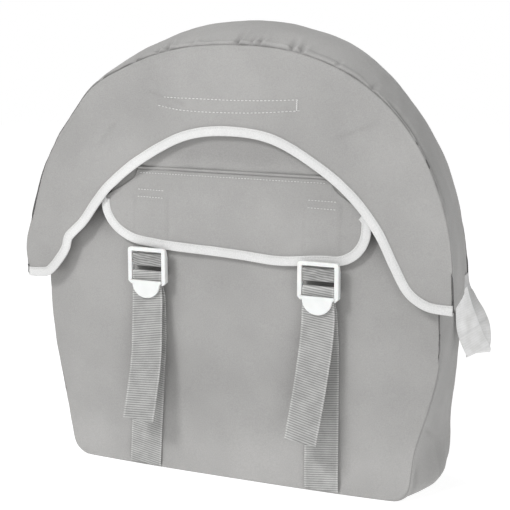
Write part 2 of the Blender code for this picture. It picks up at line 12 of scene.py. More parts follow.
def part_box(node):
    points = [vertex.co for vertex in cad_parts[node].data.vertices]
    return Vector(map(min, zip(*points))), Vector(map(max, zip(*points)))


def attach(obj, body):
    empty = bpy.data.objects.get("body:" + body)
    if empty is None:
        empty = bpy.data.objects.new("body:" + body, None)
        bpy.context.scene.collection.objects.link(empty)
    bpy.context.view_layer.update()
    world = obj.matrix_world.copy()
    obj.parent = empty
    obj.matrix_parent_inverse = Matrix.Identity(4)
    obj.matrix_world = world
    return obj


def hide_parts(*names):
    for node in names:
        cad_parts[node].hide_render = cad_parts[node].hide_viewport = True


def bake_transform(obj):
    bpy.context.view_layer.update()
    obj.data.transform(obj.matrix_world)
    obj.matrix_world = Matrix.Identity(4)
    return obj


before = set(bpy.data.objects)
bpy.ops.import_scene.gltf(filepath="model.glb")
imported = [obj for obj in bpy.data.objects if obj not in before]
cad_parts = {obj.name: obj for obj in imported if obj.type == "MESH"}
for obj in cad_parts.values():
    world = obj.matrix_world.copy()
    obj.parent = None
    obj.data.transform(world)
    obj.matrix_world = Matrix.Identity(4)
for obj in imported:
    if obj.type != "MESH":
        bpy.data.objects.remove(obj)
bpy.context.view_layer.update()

# ---- sizes
HOOD_LOW, HOOD_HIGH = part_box("hood_gusset")
FRONT_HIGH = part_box("hood_front_panel")[1]
BACK_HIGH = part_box("hood_back_panel")[1]
POUCH_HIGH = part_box("pouch_gusset")[1]

WALL = 0.0016                # lined cloth
FLAP_WALL = 0.0014
COLUMN_STEP = 0.4            # the shells' finished columns, as a share of their columns as cloth
HEM_Z = HOOD_LOW.z
# the hood's outline at its front seam, its crown and its back seam
ROUNDNESS = (2.3, 2.2, 2.08)                            # exponent, 2 is an ellipse
RING_HALF = (HOOD_HIGH.x, 0.310, BACK_HIGH.x - 0.005)
RING_RISE = (FRONT_HIGH.z - HEM_Z, 0.366, BACK_HIGH.z - HEM_Z - 0.002)
HOOD_FRONT_Y = -0.086
HOOD_TOP_SETBACK = 0.020
HOOD_SIDE_SETBACK = 0.008
HOOD_BACK_Y = BACK_HIGH.y
HOOD_ROWS = (20, 26, 26)     # rows of cloth on its front, gusset and back
HOOD_COLUMNS = 190
# free edge of the arch over the flap: right half, from the middle to the corner
ARCH = [(0.0, 0.490), (0.066, 0.481), (0.133, 0.446), (0.180, 0.409),
        (0.213, 0.368), (0.236, 0.325), (0.256, 0.293), (0.284, 0.2755), (0.320, 0.2722)]
# its left end, from the corner upwards: the cloth hangs unevenly there, with a kink in its tape
ARCH_LEFT = [(-0.320, 0.2722), (-0.306, 0.2724), (-0.284, 0.2766), (-0.263, 0.2985), (-0.2520, 0.3160),
             (-0.2480, 0.3300), (-0.2400, 0.3385), (-0.222, 0.3560), (-0.200, 0.3860)]
# gathers on the gusset beside the front seam: x, how far each reaches and how deep it is
HOOD_GATHERS = [(-0.200, 0.015, 0.0010), (-0.150, 0.018, 0.0012), (-0.113, 0.020, 0.0016),
                (-0.098, 0.022, 0.0020), (-0.060, 0.012, 0.0008), (0.007, 0.022, 0.0022),
                (0.028, 0.014, 0.0014), (0.040, 0.016, 0.0018), (0.086, 0.020, 0.0022),
                (0.100, 0.015, 0.0015), (0.150, 0.012, 0.0010), (0.200, 0.014, 0.0012)]
# creases on the front: from (x, z), to (x, z), depth
HOOD_CREASES = [((-0.128, 0.5465), (-0.060, 0.5280), 0.0010), ((-0.120, 0.5370), (-0.075, 0.5240), 0.0008),
                ((-0.205, 0.4620), (-0.170, 0.5050), 0.0007), ((0.150, 0.4900), (0.215, 0.5150), 0.0007)]
# the left shoulder's bulge: its middle (x, z), radius, way and size
SHOULDER = ((-0.238, 0.572), 0.048, (-0.63, 0, 0.77), 0.008)
LOW_LEFT_BULGE = 0.006

POUCH_BASE_HALF = 0.258
POUCH_WIDEST_HALF = POUCH_HIGH.x
POUCH_WIDEST_Z = 0.270
POUCH_MOUTH_HALF = 0.266
POUCH_MOUTH_Z = POUCH_HIGH.z
POUCH_CORNER = 0.022
POUCH_REAR_RADIUS = 0.044
POUCH_FRONT_Y = -0.0725
POUCH_MOUTH_Y = -0.0600
POUCH_LEAN_Z = 0.280
POUCH_EDGE_SETBACK = 0.008
POUCH_BACK_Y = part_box("pouch_back_panel")[1].y
POUCH_ROWS = (34, 16, 16)
POUCH_COLUMNS = 150
SIDE_CREASES = [(0.186, 0.0009), (0.197, 0.0014), (0.208, 0.0008)]      # height where each starts, depth

HINGE_Y = -0.0690            # the flap folds here, along a sewn seam
HINGE_Z = 0.4365
FLAP_FRONT_Y = -0.0785
FLAP_FLAT_Z = 0.345
FLAP_BOTTOM_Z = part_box("flap_binding")[0].z
FLAP_TOP_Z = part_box("flap_upper_panel")[1].z
FLAP_INSET = 0.0012          # the cloth ends this far inside its tape
# half width and corner radius of the flap's left and right ends; the cloth hangs unevenly
FLAP_SIDES = {-1: (0.2005, 0.072), 1: (0.2045, 0.052)}
# half widths at heights above the ends, where the flap narrows to lift clear of the arch
FLAP_SHOULDER = [(0.388, 0.2045), (0.396, 0.197), (0.408, 0.1765), (0.4195, 0.1575), (0.426, 0.151),
                 (HINGE_Z, 0.1478)]
# how far the flap's lower edge lies above its mean height, along x
FLAP_DROOP = [(-0.21, 0.006), (-0.156, 0.0075), (-0.13, 0.0073), (-0.09, 0.004), (-0.03, 0.0016),
              (0.02, -0.0012), (0.065, -0.0045), (0.10, -0.0030), (0.134, 0.0010), (0.16, 0.0010),
              (0.21, 0.0)]

# x of each strap's sewn foot, its buckle, and the middle and tip of its tail
STRAPS = {"left": (-0.1375, -0.1212, -0.1190, -0.1232), "right": (0.1375, 0.1368, 0.1318, 0.1240)}
BUCKLE_X = {side: strap[1] for side, strap in STRAPS.items()}
TAIL_TWIST = {"left": 0.05, "right": -0.04}
STRAP_WIDTH = 0.050
STRAP_THICK = 0.0014
RIB = 0.0033                 # pitch of the webbing's ribs
RIB_SLANT = 0.12
BAR_DEPTH = 0.0032
PLAY = 0.0003                # between a bar and the webbing round it
BUCKLE_Y = -0.0885
LIFT = 0.0075                # the straps are pulled tight, so the buckles sit this much higher
BUCKLE_Z = (0.2682 + LIFT, 0.3212 + LIFT)               # the frame, without its thumb tab
BUCKLE_HALF = 0.0295
BUCKLE_RAIL = 0.0062
BUCKLE_SLOT = 2 * (BUCKLE_HALF - BUCKLE_RAIL) - 0.0012  # the width of webbing inside the frame
KEEPER_BAR_Z = (0.2965 + LIFT, 0.3112 + LIFT)
WRAP_BAR_Z = (0.2778 + LIFT, 0.2868 + LIFT)
TAIL_HINGE = (-0.0915, 0.2498)
TAIL_END_Z = 0.0850
TAIL_REACH = 0.030
RUN_Z = (0.150, 0.262)       # where the run is divided, and where it meets the buckle
LOOP_LIE = 0.0001            # scales a loop's angle in degrees down to the size of its route


# ---- curves and grids
def interpolated(values, at):
    """Rows of values, read at the fractional indices at, on a Catmull-Rom curve."""
    last = len(values) - 1
    i = np.clip(np.floor(at).astype(int), 0, last - 1)
    t = (at - i).reshape(-1, *([1] * (values.ndim - 1)))
    a, b = values[np.maximum(i - 1, 0)], values[i]
    c, d = values[i + 1], values[np.minimum(i + 2, last)]
    squared = (2 * a - 5 * b + 4 * c - d) * t ** 2
    return 0.5 * (2 * b + (c - a) * t + squared + (3 * b - a - 3 * c + d) * t ** 3)


def smooth_through(points, steps=8):
    """A smooth curve through the points."""
    points = np.array(points, float)
    return interpolated(points, np.linspace(0, len(points) - 1, steps * (len(points) - 1) + 1))


def lengths(points):
    """Distance travelled at each point of a route, or down each column of a grid."""
    steps = np.linalg.norm(np.diff(points, axis=0), axis=-1)
    return np.concatenate([np.zeros_like(steps[:1]), np.cumsum(steps, axis=0)])


def resample(points, count):
    """The same route as count equal stretches."""
    points = np.asarray(points, float)
    run = lengths(points)
    want = np.linspace(0, run[-1], count + 1)
    return np.stack([np.interp(want, run, points[:, k]) for k in range(points.shape[1])], axis=1)


def refined(grid, rows, columns):
    """A grid of points read at fractional rows and columns."""
    tall = interpolated(grid, rows)
    return interpolated(tall.swapaxes(0, 1), columns).swapaxes(0, 1)


def unit(vectors):
    return vectors / np.maximum(np.linalg.norm(vectors, axis=-1, keepdims=True), 1e-12)


def grid_normals(grid, outward):
    """Unit normals of a grid, on the side where outward(point) points."""
    made = unit(np.cross(np.gradient(grid, axis=1), np.gradient(grid, axis=0)))
    return -made if (made * outward(grid)).sum() < 0 else made


def away_from(height):
    """Outwards from the cover's middle at a height."""
    return lambda grid: grid - np.array([0, 0, height])


def forwards(grid):
    return np.array([0, -1.0, 0])


def backwards(grid):
    return np.array([0, 1.0, 0])


from_hood, from_pouch = away_from(0.42), away_from(0.25)


def raised(flat, y):
    """Points (x, y, z) made from points (x, z) and their y."""
    return np.stack([flat[..., 0], np.broadcast_to(y, flat.shape[:-1]), flat[..., 1]], axis=-1)


def crossed(across, heights):
    """A grid of points (x, z): one row of x, or one for each height."""
    return np.stack(np.broadcast_arrays(across, heights[:, None]), axis=-1)


def wobble(points, scale, seed, octaves=2):
    """Smooth noise from about -1 to 1 at each point, with bumps about scale apart."""
    flat = np.asarray(points, float).reshape(-1, 3) / scale
    shift = Vector((seed * 3.1, seed * 1.7, seed * 2.3))
    made = [noise.fractal(Vector(p) + shift, 1.0, 2.0, octaves) for p in flat]
    return np.array(made).reshape(np.asarray(points).shape[:-1])


def wobble_line(at, scale, seed):
    """Smooth noise along a line of distances."""
    made = [noise.noise(Vector((a / scale, seed * 7.3, seed * 1.1))) for a in np.ravel(at)]
    return np.array(made).reshape(np.shape(at))


def bump(distance, width):
    return np.exp(-(distance / width) ** 2)


def rolls(distance, table):
    """Soft rolls along a line: the sum of (height, place, width) at a distance from it."""
    return sum(height * bump(distance - place, width) for height, place, width in table)


def eased(t):
    t = np.clip(t, 0, 1)
    return t * t * (3 - 2 * t)


def between(x, low, high, soft, soft_high=None):
    """1 between low and high and 0 outside, reached over the soft distances inside."""
    return eased((x - low) / soft) * eased((high - x) / (soft_high or soft))


# ---- meshes
def add_object(name, data):
    made = bpy.data.objects.new(name, data)
    bpy.context.scene.collection.objects.link(made)
    return made


def add_mesh(name, verts, faces, finish, uvs=None, painted_shade=None):
    """A mesh, with painted shade at each point: darker in seams, folds and on inner faces, and painted light
    where the amount is below 0.
    """
    mesh = bpy.data.meshes.new(name)
    mesh.from_pydata(np.asarray(verts, float).tolist(), [], faces)
    if painted_shade is not None:
        shades = mesh.attributes.new("painted_shade", "FLOAT", "POINT").data
        shades.foreach_set("value", np.asarray(painted_shade, np.float32).ravel())
    if uvs is not None:
        layer = mesh.uv_layers.new(name="metres")
        corner = np.empty(len(mesh.loops), np.int32)
        mesh.loops.foreach_get("vertex_index", corner)
        layer.data.foreach_set("uv", np.asarray(uvs, np.float32)[corner].ravel())
    mesh.shade_smooth()
    mesh.materials.append(finish)
    return add_object(name, mesh)


def grid_faces(rows, columns, wrap=False, closed=False, flip=False):
    """Faces between rows and columns; wrap joins the last column to the first, closed joins the rows."""
    faces = []
    for r in range(rows if closed else rows - 1):
        for c in range(columns if wrap else columns - 1):
            s, d = (r + 1) % rows, (c + 1) % columns
            quad = (r * columns + c, r * columns + d, s * columns + d, s * columns + c)
            faces.append(quad[::-1] if flip else quad)
    return faces


def facing_faces(grid, normals):
    """The grid's faces, turned so that they face along its normals."""
    r, c = grid.shape[0] // 2, grid.shape[1] // 2
    made = np.cross(grid[r, c + 1] - grid[r, c], grid[r + 1, c] - grid[r, c])
    flip = float(np.dot(made, normals[r, c])) < 0
    return grid_faces(*grid.shape[:2], flip=flip), flip


def add_shell(name, grid, outward, thickness, finish, painted_shade=0.0, inner_shade=0.45):
    """A closed sheet: the grid as its outer face, and a copy set inwards by its thickness."""
    rows, columns = grid.shape[:2]
    count = rows * columns
    normals = grid_normals(grid, outward)
    verts = np.vstack([grid.reshape(-1, 3), (grid - normals * thickness).reshape(-1, 3)])
    faces, flip = facing_faces(grid, normals)
    faces = faces + [tuple(i + count for i in face[::-1]) for face in faces]
    rim = list(range(columns)) + [r * columns + columns - 1 for r in range(1, rows)]
    rim += [(rows - 1) * columns + c for c in range(columns - 2, -1, -1)]
    rim += [r * columns for r in range(rows - 2, 0, -1)]
    for a, b in zip(rim, rim[1:] + rim[:1]):
        quad = (a, b, b + count, a + count)
        faces.append(quad if flip else quad[::-1])
    uv = np.stack(np.broadcast_arrays(lengths(grid[rows // 2]), lengths(grid)), axis=2).reshape(-1, 2)
    # the inner face gets at least the given amount of painted shade, for the shade inside the cover
    outer_shade = np.broadcast_to(painted_shade, (rows, columns)).ravel()
    both = np.concatenate([outer_shade, np.maximum(outer_shade, inner_shade)])
    return add_mesh(name, verts, faces, finish, np.vstack([uv, uv]), both)


def add_tube(name, rings, finish, along=None, painted_shade=None):
    """A closed band: rings of points, each from one edge over the face and back under it."""
    rows, around = rings.shape[:2]
    faces = grid_faces(rows, around, wrap=True)
    for first in (0, (rows - 1) * around):
        for j in range(around // 2 - 1):
            quad = (first + j, first + j + 1, first + around - 2 - j, first + around - 1 - j)
            faces.append(quad[::-1] if first == 0 else quad)
    run = (lengths(rings.mean(axis=1)) if along is None else along).reshape(rows, -1)
    uv = np.stack(np.broadcast_arrays(lengths(rings[rows // 2])[None, :], run), axis=2).reshape(-1, 2)
    made = add_mesh(name, rings.reshape(-1, 3), faces, finish, uv, painted_shade)
    shape = bmesh.new()
    shape.from_mesh(made.data)
    if shape.calc_volume(signed=True) < 0:
        bmesh.ops.reverse_faces(shape, faces=shape.faces)
        shape.to_mesh(made.data)
    shape.free()
    return made


def finished(piece, slot, *nodes):
    """Hides the solids that the piece stands for. Its slot is not used."""
    if nodes:
        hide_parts(*nodes)


def carried(piece, body, slot, *nodes):
    """A piece that rides one body."""
    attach(piece, body)
    finished(piece, slot, *nodes)


# ---- materials
def shader_of(name, roughness, **values):
    """A material, its tree, its shader and its texture coordinates."""
    made = bpy.data.materials.new(name)
    made.use_nodes = True
    shader = made.node_tree.nodes["Principled BSDF"]
    shader.inputs["Roughness"].default_value = roughness
    for key, value in values.items():
        shader.inputs[key.replace("_", " ")].default_value = value
    return made, made.node_tree, shader, node(made.node_tree, "ShaderNodeTexCoord").outputs


def feed(tree, socket, value):
    """A value or another node's output, given to a socket."""
    if isinstance(value, bpy.types.NodeSocket):
        tree.links.new(value, socket)
    else:
        socket.default_value = value


def node(tree, kind, **settings):
    """A node; each setting is an input, with _ for each space in its name, or a property."""
    made = tree.nodes.new(kind)
    for key, value in settings.items():
        if key.replace("_", " ") in made.inputs:
            feed(tree, made.inputs[key.replace("_", " ")], value)
        else:
            setattr(made, key, value)
    return made


def calculated(tree, operation, *values):
    made = node(tree, "ShaderNodeMath", operation=operation)
    for socket, value in zip(made.inputs, values):
        feed(tree, socket, value)
    return made.outputs[0]


def noise_of(tree, source, scale, detail):
    """Noise with that many bumps a metre."""
    return node(tree, "ShaderNodeTexNoise", Scale=scale, Detail=detail, Vector=source).outputs["Fac"]


def bands(tree, source, direction, **settings):
    return node(tree, "ShaderNodeTexWave", wave_type="BANDS", bands_direction=direction, wave_profile="SIN",
                Vector=source, **settings).outputs["Fac"]


def ramped(tree, share, dark, light, low=0.0, high=1.0):
    """Colour from dark, where share is low, to light, where it is high."""
    ramp = node(tree, "ShaderNodeValToRGB", Fac=share)
    for element, at, colour in zip(ramp.color_ramp.elements, (low, high), (dark, light)):
        element.position = at
        element.color = (*colour, 1)
    return ramp.outputs["Color"]


def mottled(tree, source, scale, detail, dark, light):
    """Colour between dark and light, following noise."""
    return ramped(tree, noise_of(tree, source, scale, detail), dark, light, 0.35, 0.65)


def multiplied(tree, first, second, amount):
    mix = node(tree, "ShaderNodeMix", data_type="RGBA", blend_type="MULTIPLY", Factor=amount)
    tree.links.new(first, mix.inputs[6])
    tree.links.new(second, mix.inputs[7])
    return mix.outputs[2]


def tinted(colour, by):
    return tuple(min(1.0, c * by) for c in colour)


def shade(value):
    return (value, value, value)


def coloured(tree, shader, colour):
    """The shader's colour, darkened by each point's painted shade in seams, folds and on inner faces, and
    lightened as painted light where that is below 0.
    """
    painted_shade = node(tree, "ShaderNodeAttribute", attribute_name="painted_shade")
    keep = node(tree, "ShaderNodeMapRange", clamp=False, To_Min=1.0, To_Max=0.0, Value=painted_shade.outputs["Fac"])
    tree.links.new(multiplied(tree, colour, keep.outputs["Result"], 1.0), shader.inputs["Base Color"])


def embossed(tree, shader, height, strength, depth):
    relief = node(tree, "ShaderNodeBump", Strength=strength, Distance=depth, Height=height)
    tree.links.new(relief.outputs["Normal"], shader.inputs["Normal"])


def roughened(tree, shader, share, low, high):
    rough = node(tree, "ShaderNodeMapRange", To_Min=low, To_Max=high, Value=share)
    tree.links.new(rough.outputs["Result"], shader.inputs["Roughness"])


def cloth_material(name, colour, thread, weave_depth, roughness, sheen=0.15):
    """Plain-woven cloth: threads over and under, mottled yarn, soft patches and each point's painted shade.
    """
    made, tree, shader, place = shader_of(name, roughness, Sheen_Weight=sheen, Sheen_Roughness=0.5,
                                          Specular_IOR_Level=0.25)
    base = mottled(tree, place["Object"], 9.0, 3.0, tinted(colour, 0.93), tinted(colour, 1.06))
    base = multiplied(tree, base, mottled(tree, place["Object"], 700.0, 2.0, shade(0.86), shade(1.0)), 0.8)
    waves = [bands(tree, place["UV"], way, Scale=0.314 / thread, Distortion=0.6, Detail_Scale=1.5)
             for way in "XY"]
    weave = calculated(tree, "MULTIPLY", *waves)
    coloured(tree, shader, multiplied(tree, base, ramped(tree, weave, shade(0.90), shade(1.0)), 0.7))
    crumple = noise_of(tree, place["Object"], 160.0, 3.0)
    embossed(tree, shader, calculated(tree, "MULTIPLY_ADD", weave, 0.35, crumple), 0.5, weave_depth)
    roughened(tree, shader, crumple, roughness - 0.06, roughness + 0.06)
    return made


def webbing_material(name, colour, roughness, groove):
    """Ribbed webbing: a herringbone of fine yarns, with painted shade between the ribs, groove at its
    darkest.
    """
    made, tree, shader, place = shader_of(name, roughness, Sheen_Weight=0.2, Specular_IOR_Level=0.3)
    base = mottled(tree, place["Object"], 60.0, 3.0, tinted(colour, 0.90), tinted(colour, 1.08))
    yarn = bands(tree, place["UV"], "DIAGONAL", Scale=420.0, Distortion=1.0)
    ribs = bands(tree, place["UV"], "Y", Scale=math.pi / 10 / RIB)
    for wave, deepest in ((yarn, 0.85), (ribs, groove)):
        base = multiplied(tree, base, ramped(tree, wave, shade(deepest), shade(1.0)), 1.0)
    coloured(tree, shader, base)
    embossed(tree, shader, yarn, 0.5, 0.0002)
    return made


def plastic_material(name, colour, roughness):
    """Moulded plastic: slight mottling, fine moulded grain and scuffed patches."""
    made, tree, shader, place = shader_of(name, roughness, Specular_IOR_Level=0.5, Subsurface_Weight=0.05)
    base = mottled(tree, place["Object"], 70.0, 2.0, tinted(colour, 0.97), tinted(colour, 1.02))
    tree.links.new(base, shader.inputs["Base Color"])
    embossed(tree, shader, noise_of(tree, place["Object"], 900.0, 2.0), 0.15, 0.0001)
    roughened(tree, shader, noise_of(tree, place["Object"], 45.0, 3.0), roughness - 0.08, roughness + 0.10)
    return made


def lit_material(name, colour, glow):
    """Plain studio paper that also glows, so that it reads as white."""
    made, tree, shader, place = shader_of(name, 0.9, Specular_IOR_Level=0.0, Emission_Color=(1, 1, 1, 1),
                                          Emission_Strength=glow)
    paper = mottled(tree, place["Object"], 4.0, 2.0, shade(colour * 0.99), shade(colour))
    tree.links.new(paper, shader.inputs["Base Color"])
    return made


CLOTH = cloth_material("grey_polyester_cloth", (0.392, 0.387, 0.380), 0.0006, 0.0004, 0.86)
TAPE = cloth_material("white_tape_cloth", (0.76, 0.76, 0.755), 0.0005, 0.0002, 0.72, 0.1)
WEBBING = webbing_material("grey_ribbed_webbing", (0.480, 0.480, 0.471), 0.70, 0.52)
LOOP_WEBBING = webbing_material("white_fine_webbing", (0.95, 0.95, 0.94), 0.68, 0.95)
PLASTIC = plastic_material("white_moulded_plastic", (0.79, 0.79, 0.78), 0.36)
THREAD = cloth_material("white_thread", (0.80, 0.80, 0.79), 0.0003, 0.0001, 0.6, 0.1)


# ---- the cover's surfaces
def hood_front_y(x, z):
    up = np.maximum(0.0, z - HEM_Z) / RING_RISE[0]
    return HOOD_FRONT_Y + HOOD_TOP_SETBACK * up ** 2 + HOOD_SIDE_SETBACK * up * (x / RING_HALF[0]) ** 2


def hood_ring(v):
    """The hood's outline at v from the front seam, 0, to the back seam, 1, from left hem to right hem."""
    half, rise, power = (a * (1 - v) * (1 - 2 * v) + b * 4 * v * (1 - v) + c * v * (2 * v - 1)
                         for a, b, c in (RING_HALF, RING_RISE, ROUNDNESS))
    angle = np.linspace(0, math.pi, 8 * HOOD_COLUMNS + 1)
    x = -np.sign(np.cos(angle)) * np.abs(np.cos(angle)) ** (2 / power) * half
    z = HEM_Z + rise * np.abs(np.sin(angle)) ** (2 / power)
    return resample(np.stack([x, z], axis=1), HOOD_COLUMNS)


def arch_edge(count):
    """The arch's free edge from the left corner to the right corner."""
    mirrored = [(-x, z) for x, z in ARCH[3:0:-1]]
    return resample(smooth_through(ARCH_LEFT + mirrored + ARCH), count)


def pouch_side(z):
    """Half width of the pouch by height."""
    rise = np.sin(math.pi / 2 * np.minimum(z, POUCH_WIDEST_Z) / POUCH_WIDEST_Z)
    closing = np.maximum(0, z - POUCH_WIDEST_Z) / (POUCH_MOUTH_Z - POUCH_WIDEST_Z)
    swell = POUCH_BASE_HALF + (POUCH_WIDEST_HALF - POUCH_BASE_HALF) * rise
    return swell - (POUCH_WIDEST_HALF - POUCH_MOUTH_HALF) * closing ** 2


def pouch_front_y(x, z):
    lean = np.maximum(0.0, z - POUCH_LEAN_Z) / (POUCH_MOUTH_Z - POUCH_LEAN_Z)
    bow = np.minimum(1.0, np.abs(x) / pouch_side(z)) ** 3
    return POUCH_FRONT_Y + (POUCH_MOUTH_Y - POUCH_FRONT_Y) * lean ** 2 + POUCH_EDGE_SETBACK * bow


def pouch_outline():
    """The pouch's outline in (x, z), from the left of the mouth round the bottom to the right of it."""
    angle = np.linspace(0, math.pi / 2, 12)
    low = POUCH_CORNER * (1 - np.cos(angle))
    corner = np.stack([pouch_side(low) - POUCH_CORNER * (1 - np.sin(angle)), low], axis=1)
    z = np.linspace(POUCH_CORNER, POUCH_MOUTH_Z, 60)[1:]
    right = np.vstack([corner, np.stack([pouch_side(z), z], axis=1)])
    return resample(np.vstack([right[::-1] * [-1, 1], right]), POUCH_COLUMNS)


def flap_y(z):
    """Outer face of the flap: upright at its lower edge, leaning back to its fold, then into the hood."""
    up = np.maximum(0.0, z - FLAP_FLAT_Z) / (HINGE_Z - FLAP_FLAT_Z)
    low = FLAP_FRONT_Y + (HINGE_Y - FLAP_FRONT_Y) * np.minimum(up, 1) ** 2
    share = np.clip((z - HINGE_Z) / (FLAP_TOP_Z - HINGE_Z), 0, 1)
    return low + (hood_front_y(0.0, FLAP_TOP_Z) + 0.0045 - HINGE_Y) * share ** 1.5


# ---- cloth
CLOTH_FRAMES = 20
CLOTH_SETTINGS = dict(quality=6, mass=0.3, tension_stiffness=20, compression_stiffness=20, shear_stiffness=8,
                      bending_stiffness=0.8, air_damping=2.0, use_pressure=True, vertex_group_mass="hold",
                      pin_stiffness=1.0)


def settle(grid, hold, pressure, slack, cap, outward):
    """The grid as cloth with a little slack, blown out gently and held where hold is 1.

    No point moves further than cap. The result is the settled grid, without any modifier left.
    """
    mesh = bpy.data.meshes.new("settling")
    mesh.from_pydata(grid.reshape(-1, 3).tolist(), [], facing_faces(grid, grid_normals(grid, outward))[0])
    sheet = add_object("settling", mesh)
    group = sheet.vertex_groups.new(name="hold")
    for index, weight in enumerate(np.ravel(hold)):
        if weight > 0:
            group.add([index], float(weight), "REPLACE")
    cloth = sheet.modifiers.new("cloth", "CLOTH")
    for key, value in CLOTH_SETTINGS.items():
        setattr(cloth.settings, key, value)
    cloth.settings.uniform_pressure_force = pressure
    cloth.settings.shrink_min = -slack
    cloth.settings.effector_weights.gravity = 0
    cloth.collision_settings.use_collision = False
    cloth.point_cache.frame_start = 1
    cloth.point_cache.frame_end = CLOTH_FRAMES
    for step in range(1, CLOTH_FRAMES + 1):
        bpy.context.scene.frame_set(step)
    settled = sheet.evaluated_get(bpy.context.evaluated_depsgraph_get()).to_mesh()
    moved = np.empty(len(settled.vertices) * 3)
    settled.vertices.foreach_get("co", moved)
    bpy.data.objects.remove(sheet, do_unlink=True)
    bpy.context.scene.frame_set(1)
    shift = moved.reshape(grid.shape) - grid
    size = np.linalg.norm(shift, axis=2, keepdims=True)
    return grid + shift * (cap * np.tanh(size / cap) / np.maximum(size, 1e-9))


def level(outline, z):
    """A level line between an outline's two ends."""
    x = np.linspace(outline[0, 0], outline[-1, 0], len(outline))
    return np.stack([x, np.full(len(x), z)], axis=1)


def shell_at_rest(edge, ring, base, front_y, back_y, counts):
    """Rows of cloth from the front's free edge over the front seam and the back seam to the back's.

    ring(v) is the outline from the front seam, 0, to the back seam, 1.
    """
    front_rows, gusset_rows, back_rows = counts
    rows = []
    for r in range(front_rows + 1):
        flat = edge + (ring(0.0) - edge) * r / front_rows
        rows.append(raised(flat, front_y(*flat.T)))
    front_edge = rows[-1][:, 1]
    for r in range(1, gusset_rows + 1):
        rows.append(raised(ring(r / gusset_rows), front_edge + (back_y - front_edge) * (r / gusset_rows)))
    last = ring(1.0)
    for r in range(1, back_rows + 1):
        rows.append(raised(last + (base - last) * r / back_rows, back_y))
    return np.array(rows)


def held_round(grid):
    """How firmly each point is held: fully along the free edges."""
    hold = np.zeros(grid.shape[:2])
    hold[[0, -1]] = 1
    hold[:, [0, -1]] = 1
    return hold


def fine_shell(grid, seams, step, beside_front, beside_back):
    """The grid with more rows, above all beside its two seams.

    Also the distance down its columns, the same from each seam, and its row of points on the front seam.
    """
    rows = [np.arange(0, seams[1] + 1.01, step), np.arange(seams[1] + 2, len(grid) - 0.5, 1.0),
            seams[0] + beside_front, seams[1] + beside_back]
    rows = np.unique(np.round(np.concatenate(rows), 4))
    fine = refined(grid, rows, np.arange(0, grid.shape[1] - 0.99, COLUMN_STEP))
    down = lengths(fine)
    front, back = (int(np.argmin(np.abs(rows - seam))) for seam in seams)
    return fine, down, down - down[front], down - down[back], fine[front]


# ---- stitches
class Stitches:
    """Short thread ovals gathered into one mesh."""

    AROUND = 6
    SHAPE = ((0.02, 0.45), (0.18, 0.9), (0.5, 1.0), (0.82, 0.9), (0.98, 0.45))     # place along, thickness

    def __init__(self, name, radius):
        self.name = name
        self.radius = radius
        self.verts = []
        self.faces = []

    def add(self, start, end, normal):
        start, end, normal = (np.asarray(p, float) for p in (start, end, normal))
        size = np.linalg.norm(end - start)
        if size < 1e-6:
            return
        along = (end - start) / size
        normal = normal / max(np.linalg.norm(normal), 1e-9)
        side = np.cross(along, normal)
        base, around, rings = len(self.verts), self.AROUND, len(self.SHAPE)
        for share, fat in self.SHAPE:
            arch = math.sin(math.pi * share) * self.radius * 0.4
            centre = start + along * size * share + normal * (self.radius * 0.55 + arch)
            for angle in np.arange(around) * 2 * math.pi / around:
                spoke = side * math.cos(angle) + normal * math.sin(angle)
                self.verts.append(centre + spoke * self.radius * fat)
        self.faces += [tuple(base + i for i in face) for face in grid_faces(rings, around, wrap=True)]
        self.faces.append(tuple(base + k for k in range(around))[::-1])
        self.faces.append(tuple(base + (rings - 1) * around + k for k in range(around)))

    def row(self, points, normals, pitch, length):
        """Stitches along a route that lies on a surface."""
        run = lengths(points)
        for i in range(int(run[-1] / pitch)):
            a, b = i * pitch + (pitch - length) / 2, i * pitch + (pitch + length) / 2
            ends = [[np.interp(s, run, points[:, k]) for k in range(3)] for s in (a, b)]
            self.add(*ends, [np.interp((a + b) / 2, run, normals[:, k]) for k in range(3)])

    def made(self):
        return add_mesh(self.name, self.verts, self.faces, THREAD)


def tree_of(grid):
    """A search tree over a grid of points, for laying stitches on it."""
    return BVHTree.FromPolygons([Vector(p) for p in grid.reshape(-1, 3)], grid_faces(*grid.shape[:2]))


def on_front(tree, route):
    """Points and normals where a route of (x, z) points meets the surface, seen from the front."""
    points, normals = [], []
    for x, z in route:
        hit, normal, _, _ = tree.ray_cast(Vector((x, -0.4, z)), Vector((0, 1, 0)))
        if hit is not None:
            points.append(hit)
            normals.append(-normal if normal.y > 0 else normal)
    return np.array(points), np.array(normals)


def straight(start, end, step=0.004):
    count = max(2, int(np.linalg.norm(np.subtract(end, start)) / step))
    return np.linspace(start, end, count + 1)


